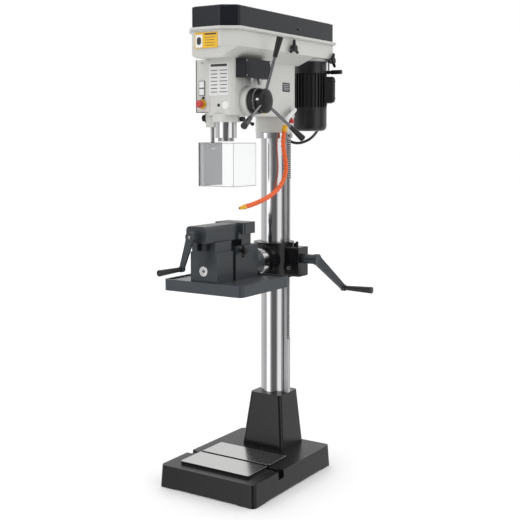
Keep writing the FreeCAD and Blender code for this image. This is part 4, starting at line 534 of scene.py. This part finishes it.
# the plate on the head's front: generic bars only
sheets("head_nameplate", label_pale, "frame", [((-0.002, HEAD_FRONT, 1.466), FRONT, 0.082, 0.114, 0.0008, 0.006)])
bars = [((-0.001, HEAD_FRONT - 0.0007, 1.5145), FRONT, 0.070, 0.009, 0.0002, 0.0005)]
for row in range(7):
    z = 1.497 - 0.0125 * row
    bars.append(((-0.021, HEAD_FRONT - 0.0007, z), FRONT, 0.028, 0.003, 0.0002, 0.0003))
    bars.append(((0.0185, HEAD_FRONT - 0.0007, z), FRONT, 0.034 - 0.004 * (row % 3), 0.003, 0.0002, 0.0003))
sheets("head_nameplate_bars", label_ink, "frame", bars)
sheets("round_head_label", label_white, "frame",
       [((0.026, HEAD_FRONT, 1.376), FRONT, 0.028, 0.028, 0.0006, 0.0139)])
turnings("head_plug", black_plastic, "frame",
         [((-0.002, HEAD_FRONT, 1.376), FRONT, [(0, 0.005), (0.002, 0.005), (0.003, 0.004), (0.003, 0)])])
# the yellow panel on the belt housing, with a plain white field
sheets("housing_panel", label_yellow, "frame",
       [((0.002, HOUSING_FRONT, 1.594), FRONT, 0.097, 0.054, 0.0007, 0.002)])
sheets("housing_panel_field", label_white, "frame",
       [((-0.028, HOUSING_FRONT - 0.0006, 1.592), FRONT, 0.030, 0.044, 0.0003, 0.001)])
sheets("housing_panel_bars", label_ink, "frame",
       [((-0.028, HOUSING_FRONT - 0.0009, 1.592), FRONT, 0.018, 0.026, 0.0003, 0.008),
        ((0.020, HOUSING_FRONT - 0.0007, 1.614), FRONT, 0.050, 0.005, 0.0002, 0.0003)]
       + [((0.018, HOUSING_FRONT - 0.0007, 1.603 - 0.009 * row), FRONT,
            0.044 - 0.006 * (row % 2), 0.0015, 0.0002, 0.0003)
          for row in range(4)])
# plates on the head's operator side
sheets("head_side_plate", label_ink, "frame", [((HEAD_SIDE, -0.012, 1.452), RIGHT, 0.052, 0.034, 0.0007, 0.002)])
sheets("head_side_plate_bars", label_pale, "frame",
       [((HEAD_SIDE + 0.0006, -0.012, 1.462 - 0.0065 * row), RIGHT,
          0.042 - 0.008 * (row % 2), 0.002, 0.0002, 0.0003)
        for row in range(4)])
sheets("head_side_sticker", label_yellow, "frame",
       [((HEAD_SIDE, -0.165, 1.358), RIGHT, 0.020, 0.020, 0.0006, 0.0098)])
sheets("head_side_sticker_ring", label_ink, "frame",
       [((HEAD_SIDE + 0.0006, -0.165, 1.358), RIGHT, 0.013, 0.013, 0.0002, 0.0063)])
# control panel: filler beside it, a black line along its left and bottom edges, button frames and screws
sheets("panel_filler", paint_grey, "frame", [((-0.0500, -0.3622, 1.4440), FRONT, 0.0205, 0.184, 0.0005, 0.0002)])
sheets("panel_edge_line", black_trim, "frame",
       [((-0.0985, -0.3634, 1.4435), FRONT, 0.0022, 0.185, 0.0006, 0.0003),
        ((-0.0800, -0.3634, 1.3520), FRONT, 0.0370, 0.0022, 0.0006, 0.0003)])
sheets("panel_lamp", black_trim, "frame", [((-0.0665, PANEL_FRONT, 1.403), FRONT, 0.009, 0.009, 0.002, 0.0044)])
sheets("button_frames", black_trim, "frame",
       [((PANEL_X, PANEL_FRONT, z), FRONT, 0.0265, 0.0255, 0.0012, 0.002) for z in (1.4495, 1.4235)])
screws("panel_screws", machined_steel, "frame",
       [((PANEL_X, PANEL_FRONT, z), FRONT, 0.0026, 0.0016) for z in (1.524, 1.400)])
# depth dial: graduations round its rim
bm = bmesh.new()
for k in range(60):
    turn = 2 * math.pi * k / 60
    out = Vector((0, math.cos(turn), math.sin(turn)))
    long = 0.009 if k % 5 == 0 else 0.005
    plate(bm, Vector((0.1145 - long / 2, FEED_Y, FEED_Z)) + out * DIAL_RADIUS, out, 0.0007, long, 0.0004, 0.0001,
          up=(1, 0, 0), bevel=0)
made("dial_graduations", bm, label_white, "dial")
sheets("dial_window", label_white, "feed_handle",
       [(Vector((0.127, FEED_Y - 0.0401 * math.cos(0.12), FEED_Z + 0.0401 * math.sin(0.12))), FRONT, 0.011, 0.008,
         0.0004, 0.0005)])
# terminal box: lid screws, rating plate and the lead's strain reliefs
way = math.radians(33)
OUT, ACROSS = Vector((math.cos(way), math.sin(way), 0)), Vector((-math.sin(way), math.cos(way), 0))
motor_axis = Vector((0.041, 0.202, 0))
lid = motor_axis + OUT * 0.0969
screws("terminal_lid_screws", machined_steel, "motor",
       [(lid + ACROSS * side * 0.024 + Vector((0, 0, z)), OUT, 0.003, 0.002)
        for side in (-1, 1) for z in (TERMINAL_Z - 0.033, TERMINAL_Z + 0.033)])
sheets("motor_rating_plate", label_pale, "motor",
       [(lid + Vector((0, 0, TERMINAL_Z)), OUT, 0.040, 0.030, 0.0006, 0.002)])
relief = motor_axis + OUT * 0.078 + ACROSS * 0.0535 + Vector((0, 0, GLAND_Z))
turnings("lead_relief_motor", cable_rubber, "motor",
         [(relief, ACROSS, [(0, 0.0082), (0.004, 0.0082), (0.006, 0.0074), (0.024, 0.0060), (0.024, 0.005)])])
turnings("lead_relief_head", cable_rubber, "frame",
         [(LEAD_END, (0, 1, 0), [(0, 0.0074), (0.004, 0.0072), (0.022, 0.0060), (0.022, 0.005)])])
# hose fitting at the tap
down = (Vector(HOSE[1]) - Vector(HOSE[0])).normalized()
turnings("hose_fitting", yellow_plastic, "frame",
         [(Vector(HOSE[0]) - down * 0.003, down, [(0, 0.0098), (0.002, 0.0108), (0.007, 0.0108), (0.009, 0.0098),
                                                  (0.013, 0.0098), (0.015, 0.0108), (0.020, 0.0108), (0.024, 0.0094),
                                                  (0.024, 0.0088)])])
# guard: the sheet's cut edges catch the light
sheet_edge = finish("sheet_edge", (0.50, 0.51, 0.52), 0.25, mottle=0.04, grain=0.000005, grain_scale=900, painted_shade=0.1)
sheets("guard_sheet_edges", sheet_edge, "guard", [
    ((0.0015, SHEET_FRONT, SHEET_HIGH), FRONT, 0.146, 0.0022, 0.0004, 0.0002),
    ((0.0015, SHEET_FRONT, SHEET_LOW), FRONT, 0.146, 0.0022, 0.0004, 0.0002),
    ((0.0738, SHEET_FRONT, SHEET_MIDDLE), FRONT, 0.0020, 0.152, 0.0004, 0.0002),
    ((SHEET_SIDE, -0.3125, SHEET_HIGH), RIGHT, 0.140, 0.0022, 0.0004, 0.0002),
    ((SHEET_SIDE, -0.3125, SHEET_LOW), RIGHT, 0.140, 0.0022, 0.0004, 0.0002),
    ((SHEET_SIDE, -0.2432, SHEET_MIDDLE), RIGHT, 0.0022, 0.152, 0.0004, 0.0002)])
# vise: a ring round the clamp bolt and a screw on the crank hub
turnings("vise_bolt_ring", ground_steel, "vise_table",
         [((0, -0.458, 0.802), FRONT,
           [(0, 0.0175), (0.0016, 0.0175), (0.0022, 0.0168), (0.0022, 0.0112), (0, 0.0112)])])
screws("vise_crank_screw", machined_steel, "jaw_crank", [((0, -0.5383, 0.927), FRONT, 0.0055, 0.003)])

# ---------------------------------------------------------------- floor and light
bm = bmesh.new()
rings = []
for radius in (0.4, 0.8, 1.2, 1.8, 2.6, 3.8, 5.5, 8.0):
    rings.append([bm.verts.new((radius * math.cos(t), radius * math.sin(t), -0.001))
                  for t in (2 * math.pi * k / 64 for k in range(64))])
bm.faces.new(rings[0])
for low, high in zip(rings, rings[1:]):
    for k in range(64):
        bm.faces.new((low[k], low[(k + 1) % 64], high[(k + 1) % 64], high[k]))
mesh = bpy.data.meshes.new("floor")
bm.to_mesh(mesh)
bm.free()
floor = bpy.data.objects.new("floor", mesh)
collection.objects.link(floor)
floor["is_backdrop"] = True
floor.visible_glossy = False
floor_look = bpy.data.materials.new("pale_floor")
floor_look.use_nodes = True
floor_look.node_tree.nodes["Principled BSDF"].inputs["Base Color"].default_value = (0.88, 0.88, 0.88, 1)
floor_look.node_tree.nodes["Principled BSDF"].inputs["Roughness"].default_value = 0.6
mesh.materials.append(floor_look)


def studio():
    """Soft light boxes left and right of the camera, a dark gap behind it, and a bright ceiling."""
    world = bpy.data.worlds.new("studio")
    scene.world = world
    world.use_nodes = True
    tree = world.node_tree
    tree.nodes.clear()
    new = tree.nodes.new
    join = tree.links.new
    direction = new("ShaderNodeTexCoord").outputs["Generated"]
    turn = new("ShaderNodeVectorRotate")
    turn.rotation_type = "Z_AXIS"
    turn.inputs["Angle"].default_value = -math.radians(YAW)
    join(direction, turn.inputs["Vector"])
    split = new("ShaderNodeSeparateXYZ")
    join(turn.outputs[0], split.inputs[0])
    back = new("ShaderNodeMath")
    back.operation = "MULTIPLY"
    back.inputs[1].default_value = -1
    join(split.outputs[1], back.inputs[0])
    angle = new("ShaderNodeMath")
    angle.operation = "ARCTAN2"
    join(split.outputs[0], angle.inputs[0])
    join(back.outputs[0], angle.inputs[1])
    part = new("ShaderNodeMapRange")
    part.inputs[1].default_value, part.inputs[2].default_value = -math.pi, math.pi
    join(angle.outputs[0], part.inputs[0])
    ramp = new("ShaderNodeValToRGB")
    join(part.outputs[0], ramp.inputs[0])
    stops = [(-180, 0.5), (-110, 0.42), (-72, 0.30), (-64, 1.0), (-38, 1.0), (-30, 0.30), (-18, 0.10), (16, 0.09),
             (27, 0.22), (33, 0.72), (66, 0.72), (72, 0.12), (88, 0.14), (100, 0.5), (180, 0.5)]
    elements = ramp.color_ramp.elements
    while len(elements) < len(stops):
        elements.new(0.5)
    for element, (degrees, value) in zip(elements, stops):
        element.position = degrees / 360 + 0.5
        element.color = (value, value, value, 1)
    high = new("ShaderNodeMapRange")
    high.inputs[1].default_value, high.inputs[2].default_value = 0.35, 0.85
    join(split.outputs[2], high.inputs[0])
    sky = new("ShaderNodeMix")
    sky.data_type = "RGBA"
    join(high.outputs[0], sky.inputs[0])
    join(ramp.outputs[0], sky.inputs[6])
    sky.inputs[7].default_value = (0.95, 0.95, 0.96, 1)
    lit = new("ShaderNodeBackground")
    join(sky.outputs[2], lit.inputs[0])
    lit.inputs[1].default_value = 1.7
    seen = new("ShaderNodeBackground")
    seen.inputs[0].default_value = (1, 1, 1, 1)
    seen.inputs[1].default_value = 1.0
    path = new("ShaderNodeLightPath")
    both = new("ShaderNodeMixShader")
    join(path.outputs["Is Camera Ray"], both.inputs[0])
    join(lit.outputs[0], both.inputs[1])
    join(seen.outputs[0], both.inputs[2])
    join(both.outputs[0], new("ShaderNodeOutputWorld").inputs[0])


studio()
scene.view_settings.view_transform = "Standard"

low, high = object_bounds()
